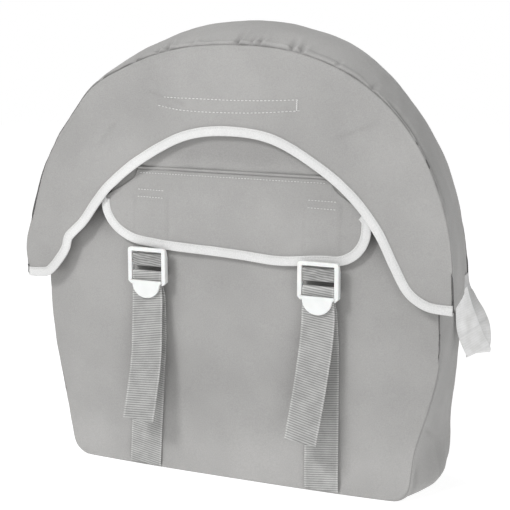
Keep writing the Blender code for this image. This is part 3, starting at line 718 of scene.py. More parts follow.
# ---- hood
def hood_seams(grid, from_front, from_back, seam):
    """Height and painted shade of the hood's seams, the gathers beside them and the creases of its gusset."""
    run, seam_x = lengths(seam), seam[:, 0]
    gusset = eased(from_front / 0.002)
    ends = 1 - bump(np.minimum(run, run[-1] - run), 0.03)
    pucker = wobble_line(run, 0.013, 3) * 0.9 + wobble_line(run, 0.031, 5) * 0.8
    gathered = between(seam_x, -0.15, 0.11, 0.03)
    drift = 0.0016 * gathered * wobble_line(run, 0.016, 15)
    relief = rolls(from_front, [
        (-0.0016, 0, 0.0013), (0.0005, -0.0035, 0.0022), (0.0016 * gathered, 0.0045 + drift, 0.0026),
        (0.0011 * (0.6 + 0.6 * wobble_line(run, 0.05, 9)), 0.0042, 0.0026),
        (0.0009 * pucker, 0.012, 0.012), (0.0005 * pucker, -0.010, 0.009)])
    relief += rolls(from_back, [(-0.0013, 0, 0.0016), (0.0005 * wobble_line(run, 0.017, 12), 0, 0.014)])
    # painted shade in the seam grooves, along the gathered allowance and beside the left part of the front
    # seam
    painted_shade = 0.35 * bump(from_back, 0.0013) + rolls(from_front, [
        (0.46 * (0.8 + 0.9 * wobble_line(run, 0.02, 14)), 0, 0.0012),
        (0.20 * gathered * (0.5 + wobble_line(run, 0.013, 16)), 0.0085 + 2 * drift, 0.0013),
        (0.30 * between(seam_x, -0.255, -0.125, 0.02), 0.0012, 0.0016)])
    firm = 0.2 + 0.8 * eased((seam[:, 2] - 0.36) / 0.09)
    relief, painted_shade = relief * firm, painted_shade * firm
    for x, reach, depth in HOOD_GATHERS:
        lean = 0.25 * wobble_line(np.array([x]), 0.02, 17)[0]
        near = bump(from_front - 0.003, reach) * gusset
        line = bump(seam_x - x - lean * np.maximum(from_front, 0), 0.0034) * near
        relief += 1.1 * depth * bump(seam_x - x - 0.007, 0.004) * near - 2.2 * depth * line
        # painted shade in each gather's fold
        painted_shade += 130.0 * depth * line * bump(from_front - 0.002, reach * 0.8)
    # the seam allowance rolls over right of the middle, lies flat after that and folds at the shoulder
    flat = between(seam_x, 0.103, 0.192, 0.008, 0.012)
    shoulder = eased((seam_x - 0.215) / 0.02) * eased((run[-1] - run - 0.115) / 0.06)
    relief += rolls(from_front, [(0.0016 * between(seam_x, 0.015, 0.100, 0.02), 0.0045, 0.003),
                                 (0.0012 * flat, 0.0055, 0.0035), (-0.0026 * shoulder, 0.0065, 0.0042)])
    # painted shade along the flat allowance's edge and in the shoulder's fold
    painted_shade += rolls(from_front, [(0.16 * flat, 0.0105, 0.0014), (0.33 * shoulder, 0.0060, 0.0030)])
    folds = np.sin(from_front / 0.021 + 0.7) * bump(from_front - 0.075, 0.045)
    relief += 0.0022 * eased((seam_x - 0.26) / 0.02) * gusset * folds * eased((0.47 - grid[..., 2]) / 0.10)
    hem = grid[..., 2] - HEM_Z
    round_side = eased((from_front + 0.01) / 0.01)
    relief += rolls(hem, [(-0.0008, 0.0110, 0.0011), (0.0006, 0.0050, 0.0045)]) * round_side
    # painted shade in the hem's fold
    painted_shade += 0.20 * bump(hem - 0.0110, 0.0010) * round_side
    return relief * ends, np.clip(painted_shade * (0.25 + 0.75 * ends), 0, 0.6)


def front_creases(grid):
    """Short soft creases beside the stitched rows on the hood's front, as height and painted shade."""
    relief = np.zeros(grid.shape[:2])
    painted_shade = np.zeros(grid.shape[:2])
    for (x0, z0), (x1, z1), depth in HOOD_CREASES:
        reach = math.hypot(x1 - x0, z1 - z0)
        along = ((grid[..., 0] - x0) * (x1 - x0) + (grid[..., 2] - z0) * (z1 - z0)) / reach
        off = ((grid[..., 2] - z0) * (x1 - x0) - (grid[..., 0] - x0) * (z1 - z0)) / reach
        window = depth * between(along, 0, reach, 0.015) * (grid[..., 1] < -0.05)
        relief += window * rolls(off, [(-1.6, 0, 0.0034), (1.2, 0.0075, 0.0050)])
        # painted shade along each crease
        painted_shade += 60 * window * bump(off, 0.0030)
    return relief, np.minimum(painted_shade, 0.3)


def make_hood():
    seams = front_seam, back_seam = HOOD_ROWS[0], HOOD_ROWS[0] + HOOD_ROWS[1]
    base = level(hood_ring(1.0), HEM_Z)
    grid = shell_at_rest(arch_edge(HOOD_COLUMNS), hood_ring, base, hood_front_y, HOOD_BACK_Y, HOOD_ROWS)
    hold = held_round(grid)
    corner = (grid[:, :, 2] < 0.31) & (np.abs(grid[:, :, 0]) > 0.25)
    hold[:front_seam][corner[:front_seam]] = 1
    hold[back_seam + 3:] = 1
    hold[front_seam] = np.maximum(hold[front_seam], 0.5)
    hold[back_seam] = 0.6
    grid = settle(grid, hold, 5.0, 0.012, 0.006, from_hood)
    beside = np.array([-0.9, -0.6, -0.42, -0.28, -0.20, -0.13, -0.07, 0,
                       0.07, 0.13, 0.20, 0.28, 0.40, 0.55, 0.7, 0.9])
    fine, down, from_front, from_back, seam = fine_shell(grid, seams, 0.4, beside, beside[4:11])
    relief, painted_shade = hood_seams(fine, from_front, from_back, seam)
    crease, crease_shade = front_creases(fine)
    uneven = 0.0018 * wobble(fine, 0.10, 1) + 0.0006 * wobble(fine, 0.030, 2)
    relief += crease + eased((down - 0.012) / 0.03) * uneven
    shell = fine + grid_normals(fine, from_hood) * relief[:, :, None]
    x, y, z = np.moveaxis(fine, -1, 0)
    (middle_x, middle_z), radius, way, size = SHOULDER
    shoulder = bump(np.hypot(x - middle_x, z - middle_z), radius) * (down > 0.02)
    shell += np.array(way) * (size * shoulder)[:, :, None]
    low_left = bump(z - 0.320, 0.032) * eased((-x - 0.24) / 0.06) * (y < 0.05)
    shell[..., 0] -= LOW_LEFT_BULGE * low_left * (1 - eased((y + 0.05) / 0.10))
    shell[:, [0, -1]] = fine[:, [0, -1]]
    shell[0] = fine[0]
    # its inner faces get 0.7 of painted shade, for the shade inside the hood
    hood = add_shell("hood_shell", shell, from_hood, WALL, CLOTH, painted_shade + crease_shade, 0.7)
    carried(hood, "hood", "grey_polyester", "hood_front_panel", "hood_gusset", "hood_back_panel")
    return tree_of(shell)


def make_hood_sewing(tree):
    """Two rows of white stitches and a short zigzag on the front panel."""
    white = Stitches("hood_stitches", 0.00055)
    upper = [(-0.101, 0.5390), (-0.05, 0.5382), (0.003, 0.5375), (0.053, 0.5385), (0.103, 0.5410)]
    lower = [(-0.109, 0.5275), (-0.072, 0.5220), (-0.017, 0.5205), (0.043, 0.5220), (0.107, 0.5270)]
    for line in (upper, lower):
        white.row(*on_front(tree, resample(smooth_through(line), 60)), 0.0056, 0.0038)
    zigzag = [(0.0965 + 0.0024 * (i % 2), 0.5265 + 0.0145 * i / 12) for i in range(13)]
    points, normals = on_front(tree, zigzag)
    for start, end, normal in zip(points, points[1:], normals):
        white.add(start, end, normal)
    carried(white.made(), "hood", "white_binding_tape")


def make_inner_tape():
    """The tape sewn behind the hood's front panel, under its two rows of stitches."""
    low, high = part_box("hood_inner_tape")
    flat = crossed(np.linspace(low.x, high.x, 41), np.linspace(low.z, high.z, 9))
    x, z = np.moveaxis(flat, -1, 0)
    behind = raised(flat, hood_front_y(x, z) + 0.0034 + 0.0002 * np.sin(x * 180))
    band = add_shell("hood_inner_tape_band", behind, backwards, 0.001, TAPE)
    carried(band, "hood", "white_binding_tape", "hood_inner_tape")


# ---- folded tape
# cross-section of the folded tape: (distance from the free edge, height), front face then back face
TAPE_PROFILE = np.array([
    (-0.0009, 0.0), (-0.0007, 0.0008), (0.0, 0.0014), (0.0014, 0.0016), (0.0050, 0.0016), (0.0080, 0.0016),
    (0.0096, 0.00145), (0.0104, 0.00115), (0.0112, 0.0014), (0.0121, 0.0013), (0.0126, 0.0008),
    (0.0126, -0.0016), (0.0121, -0.0024), (0.0112, -0.0026), (0.0104, -0.0025), (0.0096, -0.0027),
    (0.0080, -0.0029), (0.0050, -0.0031), (0.0022, -0.0030), (0.0004, -0.0026), (-0.0006, -0.0018),
    (-0.0009, -0.0008)])
TAPE_GROOVE = 7              # the sewn groove's place in the profile
# painted shade across it: in its sewn groove and along its edge on the cloth
TAPE_PAINTED_SHADE = 0.16 * bump(TAPE_PROFILE[:, 0] - 0.0104, 0.0007) + 0.25 * (TAPE_PROFILE[:, 0] > 0.0124)


def tape_section(route, uneven, seed):
    """Distance from the free edge and height of each point of the tape's sections along a route."""
    run = lengths(route)
    width = 1 + 0.03 * wobble_line(run, 0.03, seed)
    lift = uneven * wobble_line(run, 0.012, seed + 2)
    across, height = TAPE_PROFILE.T
    return across * width[:, None], height + lift[:, None] * (height > 0)


def make_tape(names, rings, normals, thread, place, solid):
    """The tape and its row of stitches; place(piece) puts a piece on its body."""
    tape = add_tube(names[0], rings, TAPE, painted_shade=np.tile(TAPE_PAINTED_SHADE, len(rings)))
    place(tape)
    finished(tape, "white_binding_tape", solid)
    stitches = Stitches(names[1], thread)
    stitches.row(rings[3:-3, TAPE_GROOVE], normals[3:-3], 0.0036, 0.0027)
    sewn = stitches.made()
    place(sewn)
    finished(sewn, "white_binding_tape")


def make_arch_tape():
    edge = arch_edge(420)
    route = raised(edge, hood_front_y(*edge.T))
    along = unit(np.gradient(route, axis=0))
    inwards = unit(np.cross(along, [0, -1.0, 0]))
    if inwards[len(route) // 2, 2] < 0:
        inwards = -inwards
    outwards = unit(np.cross(inwards, along) * np.sign(np.dot(np.cross(inwards[0], along[0]), [0, -1, 0])))
    across, height = tape_section(route, 0.00025, 1)
    rings = route[:, None, :] + inwards[:, None, :] * across[:, :, None]
    rings += outwards[:, None, :] * height[:, :, None]
    rings[:, :, 0] = np.clip(rings[:, :, 0], -RING_HALF[0], RING_HALF[0])
    make_tape(("hood_arch_tape", "hood_tape_stitches"), rings, outwards, 0.00032,
              lambda piece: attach(piece, "hood"), "hood_front_binding")


# ---- pouch
def slumped(shell, behind):
    """The pouch as it stands: its rear bottom edge is round, and its sides lean out of line a little."""
    z = shell[..., 2]
    outward = np.abs(shell[..., 0] / pouch_side(np.maximum(z, 0.002))) ** 3 * np.sign(shell[..., 0])
    rear = rolls(z, [(0.010, 0.040, 0.045), (-0.005, 0.2, 0.06)])
    front = rolls(z, [(0.005, 0.20, 0.05), (-0.006, 0.075, 0.045)]) * (shell[..., 0] > 0)
    belly = 0.018 * np.sin(math.pi * behind) * bump(z - 0.014, 0.040)
    moved = shell.copy()
    moved[..., 0] += outward * (rear * behind + belly) + np.abs(outward) * front * (1 - behind)
    radius = POUCH_REAR_RADIUS
    back, down = moved[..., 1] - (POUCH_BACK_Y - radius), radius - moved[..., 2]
    reach = np.hypot(back, down)
    beyond = (back > 0) & (down > 0) & (reach > radius)
    scale = np.where(beyond, radius / np.maximum(reach, 1e-9), 1.0)
    moved[..., 1] = np.where(beyond, POUCH_BACK_Y - radius + back * scale, moved[..., 1])
    moved[..., 2] = np.where(beyond, radius - down * scale, moved[..., 2])
    return moved


def pouch_relief(fine, from_front, from_back, seam):
    """Height and painted shade of the pouch's seams and creases, with painted shadow under the hood and
    behind the buckles' slots and painted light towards its bottom.
    """
    x, y, z = np.moveaxis(fine, -1, 0)
    run = lengths(seam)
    pucker = wobble_line(run, 0.015, 23) + 0.7 * wobble_line(run, 0.04, 25)
    relief = rolls(from_front, [(-0.0009, 0, 0.0016), (0.0006, 0.0040, 0.0024), (0.0006 * pucker, 0, 0.014)])
    relief += 0.0020 * wobble(fine, 0.12, 21) + 0.0005 * wobble(fine, 0.03, 22)
    relief -= 0.0010 * bump(from_back, 0.0018)
    # painted shade in the seams, painted shadow under the hood and its hem, and painted light towards the
    # bottom
    painted_shade = 0.26 * bump(from_front, 0.0011) + 0.3 * bump(from_back, 0.0013)
    painted_shade += 0.45 * eased((np.abs(x) - 0.17) / 0.03) * (y < -0.02) * eased((z - 0.32) / 0.06)
    painted_shade += 0.22 * eased((np.abs(x) - 0.255) / 0.02) * (y < -0.02) * eased((z - 0.268) / 0.02)
    painted_shade -= 0.10 * eased((0.12 - z) / 0.10) * (y < 0)
    # painted shadow on the cloth behind each buckle's slot
    for middle in BUCKLE_X.values():
        slot_shadow = bump((np.abs(x - middle) / 0.026) ** 3, 1.0) * bump(z - KEEPER_BAR_Z[0] + 0.005, 0.013)
        painted_shade += 0.30 * slot_shadow * (y < 0)
    # painted shade in the right side's creases and its corner fold
    right_side = eased(x / 0.05) * eased(from_front / 0.002)
    for start, depth in SIDE_CREASES:
        reach = bump(from_front - 0.003, 0.016)
        line = depth * right_side * bump(z - start - 0.3 * from_front, 0.0032) * reach
        relief -= line
        painted_shade += 90 * line
    corner = right_side * bump(from_front - 0.011, 0.0042) * eased((0.062 - z) / 0.025)
    painted_shade += 0.16 * corner
    crease = right_side * bump(z - 0.098 + 0.5 * (from_front - 0.03), 0.0050) * bump(from_front - 0.035, 0.03)
    relief -= 0.0022 * corner + 0.0016 * crease
    return relief * np.clip(z / 0.012, 0, 1) * (1 - 0.8 * eased((z - 0.32) / 0.06)), np.clip(painted_shade, -0.15, 0.8)


def make_pouch():
    seams = front_seam, back_seam = POUCH_ROWS[0], POUCH_ROWS[0] + POUCH_ROWS[1]
    outline = pouch_outline()
    mouth = level(outline, POUCH_MOUTH_Z)
    grid = shell_at_rest(mouth, lambda v: outline, mouth, pouch_front_y, POUCH_BACK_Y, POUCH_ROWS)
    hold = held_round(grid)
    hold[front_seam] = 0.5
    hold[back_seam:] = 1
    hold[grid[:, :, 2] < 0.0005] = 1
    under_hood = grid[:, :, 2] > 0.30
    hold[under_hood] = np.maximum(hold[under_hood], 0.7)
    grid = settle(grid, hold, 3.0, 0.010, 0.004, from_pouch)
    beside = np.array([-0.5, -0.33, -0.2, -0.1, 0, 0.1, 0.2, 0.33, 0.5])
    fine, _, from_front, from_back, seam = fine_shell(grid, seams, 0.5, beside, beside)
    relief, painted_shade = pouch_relief(fine, from_front, from_back, seam)
    shell = fine + grid_normals(fine, from_pouch) * relief[:, :, None]
    shell = slumped(shell, np.clip(from_front / (POUCH_BACK_Y - POUCH_FRONT_Y), 0, 1))
    shell[:, :, 2] = np.maximum(shell[:, :, 2], 0.0)
    # its inner faces get 0.7 of painted shade, for the shade inside the pouch
    pouch = add_shell("pouch_shell", shell, from_pouch, WALL, CLOTH, painted_shade, 0.7)
    carried(pouch, "pouch", "grey_polyester", "pouch_front_panel", "pouch_gusset", "pouch_back_panel")


def make_mouth_tape():
    """The tape folded over the pouch's mouth, all the way round."""
    x = np.linspace(-POUCH_MOUTH_HALF, POUCH_MOUTH_HALF, 61)
    front = np.stack([x, pouch_front_y(x, POUCH_MOUTH_Z)], axis=1)
    back = [(POUCH_MOUTH_HALF, POUCH_BACK_Y), (-POUCH_MOUTH_HALF, POUCH_BACK_Y)]
    route = resample(np.vstack([front, back, front[:1]]), 260)[:-1]
    along = unit(np.roll(route, -1, axis=0) - np.roll(route, 1, axis=0))
    side = np.stack([along[:, 1], -along[:, 0], np.zeros(len(along))], axis=1)
    profile = np.array([(0.0015, -0.004), (0.0019, 0.002), (0.0015, 0.006), (0.0004, 0.0078),
                        (-0.0022, 0.0078), (-0.0032, 0.006), (-0.0036, 0.002), (-0.0032, -0.004)])
    centre = np.stack([route[:, 0], route[:, 1], np.full(len(route), POUCH_MOUTH_Z)], axis=1)
    rings = centre[:, None, :] + side[:, None, :] * profile[:, :1] + np.array([0, 0, 1.0]) * profile[:, 1:]
    verts = rings.reshape(-1, 3)
    tape = add_mesh("pouch_mouth_tape", verts, grid_faces(*rings.shape[:2], wrap=True, closed=True), TAPE,
                    verts[:, [0, 2]])
    carried(tape, "pouch", "white_binding_tape", "pouch_mouth_binding")


# ---- flap
def flap_half(z, side):
    """Half width of the flap's cloth on one side, by height on its outline before it droops."""
    width, corner = FLAP_SIDES[side]
    rise = np.clip(FLAP_BOTTOM_Z + corner - z, 0, corner)
    low = width - corner + np.sqrt(corner ** 2 - rise ** 2)
    return np.minimum(low, np.interp(z, *np.transpose(FLAP_SHOULDER)))


def drooped(flat):
    """The flap's outline as it hangs: its lower edge rises and falls, and its upper part doesn't."""
    fade = 1 - eased((flat[..., 1] - FLAP_BOTTOM_Z) / (0.392 - FLAP_BOTTOM_Z))
    sag = np.interp(flat[..., 0], *smooth_through(FLAP_DROOP).T)
    return np.stack([flat[..., 0], flat[..., 1] + sag * fade], axis=-1)


def flap_outline(count):
    """The flap's free edge in (x, z), from its left shoulder round its lower edge to its right shoulder."""
    halves = []
    for side, (width, corner) in FLAP_SIDES.items():
        turn = np.linspace(0, math.pi / 2, 16)
        x, z = width - corner * (1 - np.sin(turn)), FLAP_BOTTOM_Z + corner * (1 - np.cos(turn))
        bend = np.stack([x, z], axis=1)
        z = np.linspace(FLAP_BOTTOM_Z + corner, 0.397, 12)[1:]
        halves.append(np.vstack([bend, np.stack([flap_half(z, side), z], axis=1)]) * [side, 1])
    route = resample(np.vstack([halves[0][::-1], halves[1]]), count)
    return resample(drooped(route), count)


def flap_surface(flat):
    sag = 0.0008 * np.sin(flat[..., 0] * 31 + 0.7) * eased((HINGE_Z - flat[..., 1]) / 0.06)
    return raised(flat, flap_y(flat[..., 1]) + sag)


def hang(piece):
    """A piece that crosses the flap's fold: its transform is baked into its mesh."""
    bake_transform(piece)


def make_flap_panel():
    """The hanging cloth, from its lower edge to just above its fold."""
    fold_rows = HINGE_Z + np.array([-0.006, -0.0045, -0.003, -0.002, -0.0013, -0.0007, 0,
                                    0.0007, 0.0014, 0.0022, 0.0032, 0.0045])
    heights = [np.linspace(FLAP_BOTTOM_Z + FLAP_INSET, 0.395, 52), np.linspace(0.397, 0.430, 16), fold_rows]
    heights = np.unique(np.round(np.concatenate(heights), 5))
    across = np.linspace(-1, 1, 161)
    left, right = (flap_half(heights, side)[:, None] - FLAP_INSET for side in (-1, 1))
    flat = drooped(crossed(np.where(across < 0, left, right) * across, heights))
    grid = flap_surface(flat)
    x, z = flat[..., 0], flat[..., 1]
    relief = rolls(z - HINGE_Z, [(0.0013, 0.0026, 0.0018), (-0.0009, 0, 0.0009)])
    relief += 0.0011 * wobble(grid, 0.075, 31) + 0.0004 * wobble(grid, 0.022, 32)
    relief += 0.0009 * bump(np.abs(x) - 0.165, 0.018) * bump(z - 0.385, 0.03)
    # painted shade along the fold and along the row of stitches below it
    painted_shade = rolls(z - HINGE_Z, [(0.40, 0, 0.0009), (0.10, -0.0052, 0.0009)])
    for middle in BUCKLE_X.values():
        near = np.abs(x - middle)
        relief += 0.0011 * eased((0.414 - z) / 0.012) * eased((0.0270 - near) / 0.0050)
        # painted shade beside the bulge over each keeper
        painted_shade += 0.05 * eased((0.410 - z) / 0.008) * bump(near - 0.0262, 0.0020)
    grid[..., 1] -= relief
    panel = add_shell("flap_panel", grid, forwards, FLAP_WALL, CLOTH, painted_shade)
    hang(panel)
    finished(panel, "grey_polyester", "flap_lower_panel")
    return tree_of(grid)


def make_flap_facing():
    """The sewn top of the flap: cloth on the inside of the hood, behind the fold."""
    heights = np.concatenate([np.linspace(0.402, HINGE_Z, 10), np.linspace(HINGE_Z, FLAP_TOP_Z, 24)[1:]])
    above = np.clip((heights - HINGE_Z) / (FLAP_TOP_Z - HINGE_Z), 0, 1)
    half = 0.186 + (0.120 - 0.186) * above
    flat = crossed(half[:, None] * np.linspace(-1, 1, 81), heights)
    over = flat[..., 1] - HINGE_Z
    grid = flap_surface(flat)
    grid[..., 1] += 0.0016 * (1 - eased((over - 0.002) / 0.012))
    grid[..., 1] -= 0.0008 * wobble(grid, 0.06, 33)
    # painted shade on the facing, deeper as it goes up under the hood
    facing = add_shell("flap_facing", grid, forwards, FLAP_WALL, CLOTH, 0.12 * eased(over / 0.03))
    carried(facing, "hood", "grey_polyester", "flap_upper_panel")


def make_flap_tape():
    """Folded tape round the flap's free edge."""
    route = flap_outline(460)
    along = unit(np.gradient(route, axis=0))
    inwards = np.stack([-along[:, 1], along[:, 0]], axis=1)
    across, height = tape_section(route, 0.0002, 41)
    rings = flap_surface(route[:, None, :] + inwards[:, None, :] * across[:, :, None])
    rings[..., 1] -= height + 0.0002
    normals = np.tile([0, -1.0, 0], (len(rings), 1))
    make_tape(("flap_tape", "flap_tape_stitches"), rings, normals, 0.00034, hang, "flap_binding")


def make_flap_sewing(tree):
    """White stitches below the fold, and the rows that hold the keepers' webbing behind the flap."""
    rows = [((-0.142, HINGE_Z - 0.0050), (0.142, HINGE_Z - 0.0050), 0.0030)]
    rows += [((x - 0.022, z), (x + 0.022, z - 0.0005), 0.0032)
             for x in BUCKLE_X.values() for z in (0.3985, 0.4085)]
    sewing = Stitches("flap_stitches", 0.0005)
    for start, end, length in rows:
        sewing.row(*on_front(tree, straight(start, end)), 0.0046, length)
    piece = sewing.made()
    hang(piece)
    finished(piece, "white_binding_tape")


# ---- webbing
def webbing_rings(route, across, width, thickness, rib_depth=0.00030, slant=RIB_SLANT, edge=0.0022):
    """Cross-sections of webbing, with ribs across both faces and smooth edges, and the ribs' phase."""
    along = unit(np.gradient(route, axis=0))
    across = unit(across - along * (across * along).sum(axis=1, keepdims=True))
    facing = np.cross(along, across)
    half = np.broadcast_to(width, len(route))[:, None] / 2
    outer = np.array([0.0, 0.0005, 0.0013, edge])
    inner = np.linspace(-1, 1, 9) * (half - edge - 0.0012)
    offsets = np.concatenate([outer - half, inner, half - outer[::-1]], axis=1)
    body = np.array([0.25, 0.85, 1.0, 0.72] + [1.0] * 9 + [0.72, 1.0, 0.85, 0.25]) * thickness / 2
    ribbed = np.array([0.0, 0.25, 0.3, 0.3] + [1.0] * 9 + [0.3, 0.3, 0.25, 0.0])
    run = lengths(route)[:, None] + offsets * slant
    top = body + rib_depth * (np.abs(np.sin(math.pi * run / RIB)) - 0.6) * ribbed
    place = route[:, None, :] + across[:, None, :] * offsets[:, :, None]
    rise = facing[:, None, :] * top[:, :, None]
    rings = np.concatenate([place + rise, (place - rise)[:, ::-1]], axis=1)
    return rings, np.concatenate([run, run[:, ::-1]], axis=1)


def selvedge(around):
    """1 at the webbing's woven edges and 0 between them, for each point of a cross-section."""
    half = np.zeros(around // 2)
    half[[1, 2, 3, -4, -3, -2]] = 1
    return np.concatenate([half, half[::-1]])


def arc(centre, radius, start, end, steps):
    angles = np.radians(np.linspace(start, end, steps + 1))
    return [(centre[0] + radius * math.cos(a), centre[1] + radius * math.sin(a)) for a in angles]


def bar_wrap(z, start, end, steps, extra=0.0):
    """Centre line (y, z) round the end of a buckle bar."""
    return arc((BUCKLE_Y, z), BAR_DEPTH / 2 + PLAY + STRAP_THICK / 2 + extra, start, end, steps)


def webbing_route(points, x):
    """Closely spaced points on a smooth line through points (y, z)."""
    points = smooth_through([(x, y, z) for y, z in points], 10)
    return resample(points, max(4, int(lengths(points)[-1] / (RIB / 5))))


def strap_route(side):
    """The strap's centre line: up the pouch, round the buckle's lower bar and down its front."""
    foot, x, middle, tip = STRAPS[side]
    flat_y = POUCH_FRONT_Y - 0.0022
    reach = BAR_DEPTH / 2 + PLAY + STRAP_THICK / 2
    back_y, front_y = BUCKLE_Y + reach, BUCKLE_Y - reach
    hang_y = TAIL_HINGE[0] + STRAP_THICK / 2
    bar = WRAP_BAR_Z[0]
    points = [(flat_y + 0.0010, 0.0035), (flat_y, 0.012), (flat_y - 0.0002, 0.05)]
    points += [(flat_y, z) for z in (0.10, 0.15, 0.19)]
    points += [(flat_y + (back_y - flat_y) * eased(share), 0.19 + (bar - 0.19) * share)
               for share in (0.25, 0.5, 0.75)]
    points += [(back_y, bar)] + bar_wrap(WRAP_BAR_Z[1] - BAR_DEPTH / 2, 0, 180, 6)
    points += [(front_y - 0.0004, bar + 0.0024), (front_y + 0.0002, bar - 0.0022)]
    points += [(hang_y, z) for z in (bar - 0.0112, 0.2600, TAIL_HINGE[1])]
    points += [(hang_y - TAIL_REACH * share ** 1.3, TAIL_HINGE[1] + (TAIL_END_Z - TAIL_HINGE[1]) * share)
               for share in np.linspace(0.1, 1, 9)]
    route = webbing_route(points, x)
    top = int(np.argmax(route[:, 2]))
    route[:top, 0] = np.interp(route[:top, 2], [0.0, RUN_Z[1]], [foot, x])
    drift = smooth_through([(TAIL_END_Z, tip), (0.165, middle), (0.235, x), (0.30, x)])
    route[top:, 0] = np.interp(route[top:, 2], *drift.T)
    return route, top


def make_strap(side, sign):
    route, top = strap_route(side)
    x, z = BUCKLE_X[side], route[:, 2]
    run = lengths(route)
    rising = np.arange(len(route)) < top
    across = np.tile([1.0, 0, 0], (len(route), 1))
    share = eased((run - (run[-1] - 0.165)) / 0.165)
    across[:, 1] += share * TAIL_TWIST[side]
    across[:, 2] += 0.02 * np.sin(run * 20) * share
    route[:, 1] += 0.0007 * wobble_line(run, 0.04, 51 + sign) * eased((0.26 - z) / 0.1)
    wide = np.where(rising, STRAP_WIDTH, STRAP_WIDTH - 0.0022)
    width = wide + (BUCKLE_SLOT - wide) * eased((z - 0.258) / 0.016)
    rings, ribs = webbing_rings(route, across, width, STRAP_THICK, slant=-sign * RIB_SLANT)
    # painted shade on the run's top behind the buckle, a painted highlight on the wrap's top fold, painted
    # light towards the foot, and lighter woven edges
    painted_shade = 0.70 * eased((z - WRAP_BAR_Z[1] + 0.004) / 0.004) * (np.arange(len(route)) < top - 6)
    painted_shade -= 0.22 * bump(z - WRAP_BAR_Z[1] + 0.0004, 0.0022) * ~rising
    painted_shade = painted_shade[:, None] - 0.20 * selvedge(rings.shape[1]) - 0.10 * eased((0.12 - z) / 0.06)[:, None]
    cuts = [0] + [int(np.argmin(np.abs(z[:top] - height))) for height in RUN_Z]
    cuts += [top + int(np.argmin(np.abs(z[top:] - height))) for height in (0.2560, 0.2400)] + [len(rings) - 1]
    buckle, tail = "buckle_" + side, "tail_" + side
    # each part's name, its bodies, the heights between which it goes from one to the other, its solid
    parts = [("lower_run", ("pouch", "hood"), (0.004, RUN_Z[0]), "run"),
             ("upper_run", ("hood", "flap"), RUN_Z, None),
             ("turn", ("flap", buckle), (RUN_Z[1], 0.279), "wrap"),
             ("root", (buckle, tail), (0.256, 0.243), None),
             ("free_end", (tail,), None, "tail")]
    for (name, bodies, heights, solid), a, b in zip(parts, cuts, cuts[1:]):
        piece = add_tube("strap_" + side + "_" + name, rings[a:b + 1], WEBBING, ribs[a:b + 1], painted_shade[a:b + 1])
        if heights:
            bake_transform(piece)
        else:
            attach(piece, *bodies)
        finished(piece, "grey_webbing", *(["strap_" + side + "_" + solid] if solid else []))


def make_keeper(side, sign):
    """Webbing sewn behind the flap, round the buckle's upper bar and back."""
    x = BUCKLE_X[side]
    points = [(float(flap_y(z)) + 0.0042, z) for z in np.linspace(0.405, FLAP_FLAT_Z, 6)]
    points += [(-0.0748, 0.3260), (-0.0754, 0.3215), (-0.0800, 0.3180), (-0.0850, 0.3150)]
    points += bar_wrap(KEEPER_BAR_Z[0] + BAR_DEPTH / 2, 0, -180, 6, 0.0002)
    points += bar_wrap(KEEPER_BAR_Z[1] - BAR_DEPTH / 2, 180, 115, 3, 0.0006)
    route = webbing_route(points, x)
    across = np.tile([1.0, 0, 0], (len(route), 1))
    wide = STRAP_WIDTH - 0.0012
    width = wide + (BUCKLE_SLOT - wide) * eased((0.335 - route[:, 2]) / 0.012)
    rings, ribs = webbing_rings(route, across, width, STRAP_THICK, rib_depth=0.00034)
    in_front = eased((route[:, 2] - KEEPER_BAR_Z[0] + 0.0015) / 0.003) * (route[:, 1] < BUCKLE_Y)
    in_front = in_front[:, None]
    crumple = wobble(rings * [1.0, 1.0, 3.0], 0.012, 61 + sign) * 0.0011
    rings[:, :, 1] -= np.clip(crumple, -0.0004, 0.0008) * in_front
    rings[:, :, 2] += 0.0012 * wobble(rings, 0.016, 65 + sign) * in_front
    # darker patches at random over its front
    painted_shade = 0.30 * np.clip(0.4 - wobble(rings * [1.0, 1.0, 2.0], 0.010, 71 + sign), 0, 1) * in_front
    # painted shade on its turn below the upper bar, in the buckle's slot
    below = eased((KEEPER_BAR_Z[0] - 0.0004 - rings[:, :, 2]) / 0.0020) * (route[:, 2] < 0.306)[:, None]
    painted_shade += 0.75 * below
    # painted shade where its front rises above the upper bar
    painted_shade += 0.55 * eased((rings[:, :, 2] - KEEPER_BAR_Z[1] - 0.0004) / 0.0016) * in_front
    piece = add_tube("keeper_" + side, rings, WEBBING, ribs, painted_shade)
    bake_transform(piece)
    finished(piece, "grey_webbing", "keeper_" + side + "_upper", "keeper_" + side + "_lower")


# ---- buckles
def rounded_slab(outline, y_front, y_back, radius):
    """A closed slab: an outline in XZ, drawn out in Y, with rounded edges."""
    shape = bmesh.new()
    face = shape.faces.new([shape.verts.new((x, y_front, z)) for x, z in outline])
    drawn = bmesh.ops.extrude_face_region(shape, geom=[face])["geom"]
    rear = [v for v in drawn if isinstance(v, bmesh.types.BMVert)]
    bmesh.ops.translate(shape, vec=(0, y_back - y_front, 0), verts=rear)
    bmesh.ops.recalc_face_normals(shape, faces=shape.faces)
    sharp = [e for e in shape.edges if e.calc_face_angle(0) > math.radians(35)]
    bmesh.ops.bevel(shape, geom=sharp, offset=radius, segments=4, profile=0.5, affect="EDGES",
                    clamp_overlap=True)
    verts = np.array([v.co for v in shape.verts])
    faces = [[v.index for v in f.verts] for f in shape.faces]
    shape.free()
    return verts, faces


def mirrored_outline(right):
    """A left to right outline, made from its right half."""
    return [(-x, z) for x, z in right[::-1]] + right


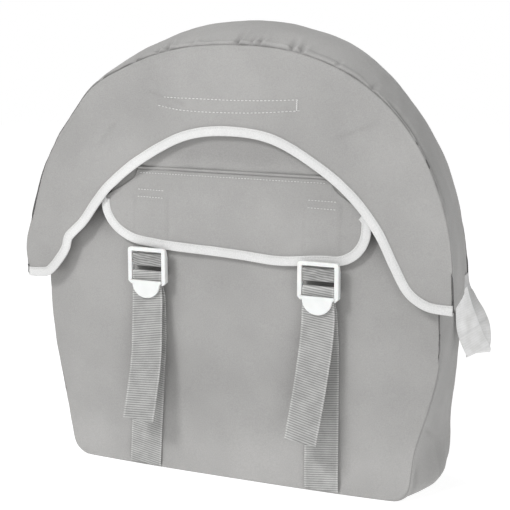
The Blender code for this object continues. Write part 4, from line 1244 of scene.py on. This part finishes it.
def make_buckle(side):
    """A one-piece ladder buckle: two rails and a top rim, two bars, and a rounded thumb tab."""
    low, high = BUCKLE_Z
    half, inner = BUCKLE_HALF, BUCKLE_HALF - BUCKLE_RAIL
    corner, rim, neck = 0.0045, 0.0055, high - 0.013
    right = [(inner, high - rim), (inner, neck), (inner, low), (half - corner, low), (half, low + corner)]
    right += [(half, neck)]
    right += arc((half - corner, high - corner), corner, 0, 90, 6)
    verts, faces = rounded_slab(mirrored_outline(right), BUCKLE_Y - 0.0046, BUCKLE_Y + 0.0044, 0.0012)
    # the rim is thinner at the back, so that it clears the flap
    share = np.maximum(0.0, verts[:, 2] - neck) / (high - neck)
    verts[:, 1] = np.minimum(verts[:, 1], BUCKLE_Y + 0.0044 - 0.0049 * share)
    parts = [(verts, faces)]
    for bottom, top in (KEEPER_BAR_Z, WRAP_BAR_Z):
        bar = [(x * (inner + 0.002), z) for x, z in ((-1, bottom), (1, bottom), (1, top), (-1, top))]
        parts.append(rounded_slab(bar, BUCKLE_Y - BAR_DEPTH / 2, BUCKLE_Y + BAR_DEPTH / 2, 0.0014))
    tab_half, drop, round_z, top_z = 0.0215, 0.0207, low + 0.0020, low + 0.0065
    turn = np.linspace(-0.47, 0.47, 30)[15:] * math.pi
    right = [(tab_half * math.sin(a), round_z - drop * math.cos(a)) for a in turn]
    right += [(tab_half + 0.0010, round_z), (inner + 0.001, round_z + 0.0012), (inner + 0.001, top_z)]
    parts.append(rounded_slab(mirrored_outline(right), BUCKLE_Y - 0.0078, BUCKLE_Y - 0.0038, 0.0014))
    starts = np.cumsum([0] + [len(some) for some, _ in parts])
    verts = np.vstack([some for some, _ in parts]) + [BUCKLE_X[side], 0, 0]
    faces = [[int(start) + i for i in face] for start, (_, some) in zip(starts, parts) for face in some]
    piece = add_mesh("buckle_" + side + "_moulding", verts, faces, PLASTIC)
    piece.data.set_sharp_from_angle(angle=math.radians(50))
    carried(piece, "buckle_" + side, "white_plastic", "buckle_" + side)


# ---- side loops
# the loop's centre line and the angle its face has turned outwards, in degrees: down, round its fold and up
LOOP_ROUTE = [
    (0.3005, 0.0265, 0.3000, 4), (0.3012, 0.0268, 0.2850, 8), (0.3025, 0.0270, 0.2720, 14),
    (0.3048, 0.0280, 0.2580, 21), (0.3080, 0.0290, 0.2430, 31), (0.3117, 0.0300, 0.2280, 40),
    (0.3180, 0.0330, 0.2110, 43), (0.3235, 0.0355, 0.1990, 45),
    (0.3252, 0.0368, 0.1940, 45), (0.3242, 0.0380, 0.1928, 45), (0.3230, 0.0393, 0.1940, 45),
    (0.3232, 0.0410, 0.2010, 45), (0.3240, 0.0430, 0.2110, 45), (0.3215, 0.0448, 0.2291, 43),
    (0.3155, 0.0455, 0.2451, 35), (0.3085, 0.0437, 0.2596, 24), (0.3045, 0.0385, 0.2720, 14),
    (0.3028, 0.0360, 0.2850, 6), (0.3022, 0.0350, 0.3000, 2)]


def make_side_loop(side, sign):
    """A loop of white webbing that hangs from inside the hem, its face turning outwards as it drops."""
    settled = resample(smooth_through(LOOP_ROUTE, 10) * [1, 1, 1, LOOP_LIE], 260)
    route, angle = settled[:, :3], np.radians(settled[:, 3] / LOOP_LIE)
    across = np.stack([np.sin(angle), np.cos(angle), np.zeros(len(angle))], axis=1)
    route[:, 0] *= sign
    across[:, 0] *= sign
    rings, ribs = webbing_rings(route, across, 0.038, 0.0013, rib_depth=0.00006, slant=0.0)
    # painted shade on the rear leg, deeper towards its top, and a faint line of painted shade across the band
    behind = eased((lengths(route) - 0.108) / 0.006)
    painted_shade = (0.14 * behind + 0.25 * behind * eased((route[:, 2] - 0.235) / 0.03))[:, None]
    painted_shade = painted_shade + 0.10 * bump(rings[:, :, 2] - 0.222 - 0.5 * (rings[:, :, 1] - 0.026), 0.0012)
    piece = add_tube("side_loop_" + side + "_band", rings, LOOP_WEBBING, ribs, painted_shade)
    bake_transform(piece)
    finished(piece, "white_webbing", "side_loop_" + side, "side_loop_" + side + "_tab")


# ---- stage
def aimed(thing, place, target):
    thing.location = place
    thing.rotation_mode = "QUATERNION"
    thing.rotation_quaternion = (Vector(target) - Vector(place)).to_track_quat("-Z", "Y")


def add_light(name, place, size, power):
    data = bpy.data.lights.new(name, "AREA")
    data.shape = "DISK"
    data.size = size
    data.energy = power
    aimed(add_object(name, data), place, (0, 0, 0.3))


def make_stage():
    """A glowing floor and dome, which read as plain white, and the lights."""
    corners = [(-6, -6, 0), (6, -6, 0), (6, 6, 0), (-6, 6, 0)]
    floor = add_mesh("floor", corners, [(0, 1, 2, 3)], lit_material("pale_floor", 0.45, 0.80))
    floor.location.z = -0.0005
    shape = bmesh.new()
    bmesh.ops.create_icosphere(shape, subdivisions=4, radius=5.5)
    mesh = bpy.data.meshes.new("backdrop")
    shape.to_mesh(mesh)
    shape.free()
    mesh.materials.append(lit_material("pale_backdrop", 0.0, 1.0))
    backdrop = add_object("backdrop", mesh)
    for unseen in ("diffuse", "glossy", "transmission", "shadow"):
        setattr(backdrop, "visible_" + unseen, False)
    world = bpy.data.worlds.new("studio")
    bpy.context.scene.world = world
    world.use_nodes = True
    world.node_tree.nodes["Background"].inputs["Color"].default_value = (1, 1, 1, 1)
    world.node_tree.nodes["Background"].inputs["Strength"].default_value = 0.42
    add_light("key", (-1.0, -2.5, 2.5), 0.9, 56)
    add_light("fill", (1.9, -2.2, 0.9), 1.5, 10)
    add_light("overhead", (-0.3, -0.1, 3.2), 1.8, 17)
    bpy.context.scene.view_settings.view_transform = "Standard"


def make_camera():
    """Seen from the right of the front and a little above."""
    data = bpy.data.cameras.new("camera")
    data.sensor_width = 36.0
    data.lens = 93.1
    camera = add_object("camera", data)
    azimuth, elevation, distance = math.radians(23.7), math.radians(11.0), 1.8049
    target = Vector((0.038, -0.075, 0.3278))
    level_part = math.cos(elevation)
    back = Vector((math.sin(azimuth) * level_part, -math.cos(azimuth) * level_part, math.sin(elevation)))
    aimed(camera, target + back * distance, target)
    bpy.context.scene.camera = camera


make_camera()
make_stage()
hood_tree = make_hood()
make_arch_tape()
make_inner_tape()
make_hood_sewing(hood_tree)
make_pouch()
make_mouth_tape()
flap_tree = make_flap_panel()
make_flap_facing()
make_flap_tape()
make_flap_sewing(flap_tree)
for side, sign in (("left", -1), ("right", 1)):
    make_strap(side, sign)
    make_keeper(side, sign)
    make_buckle(side)
    make_side_loop(side, sign)
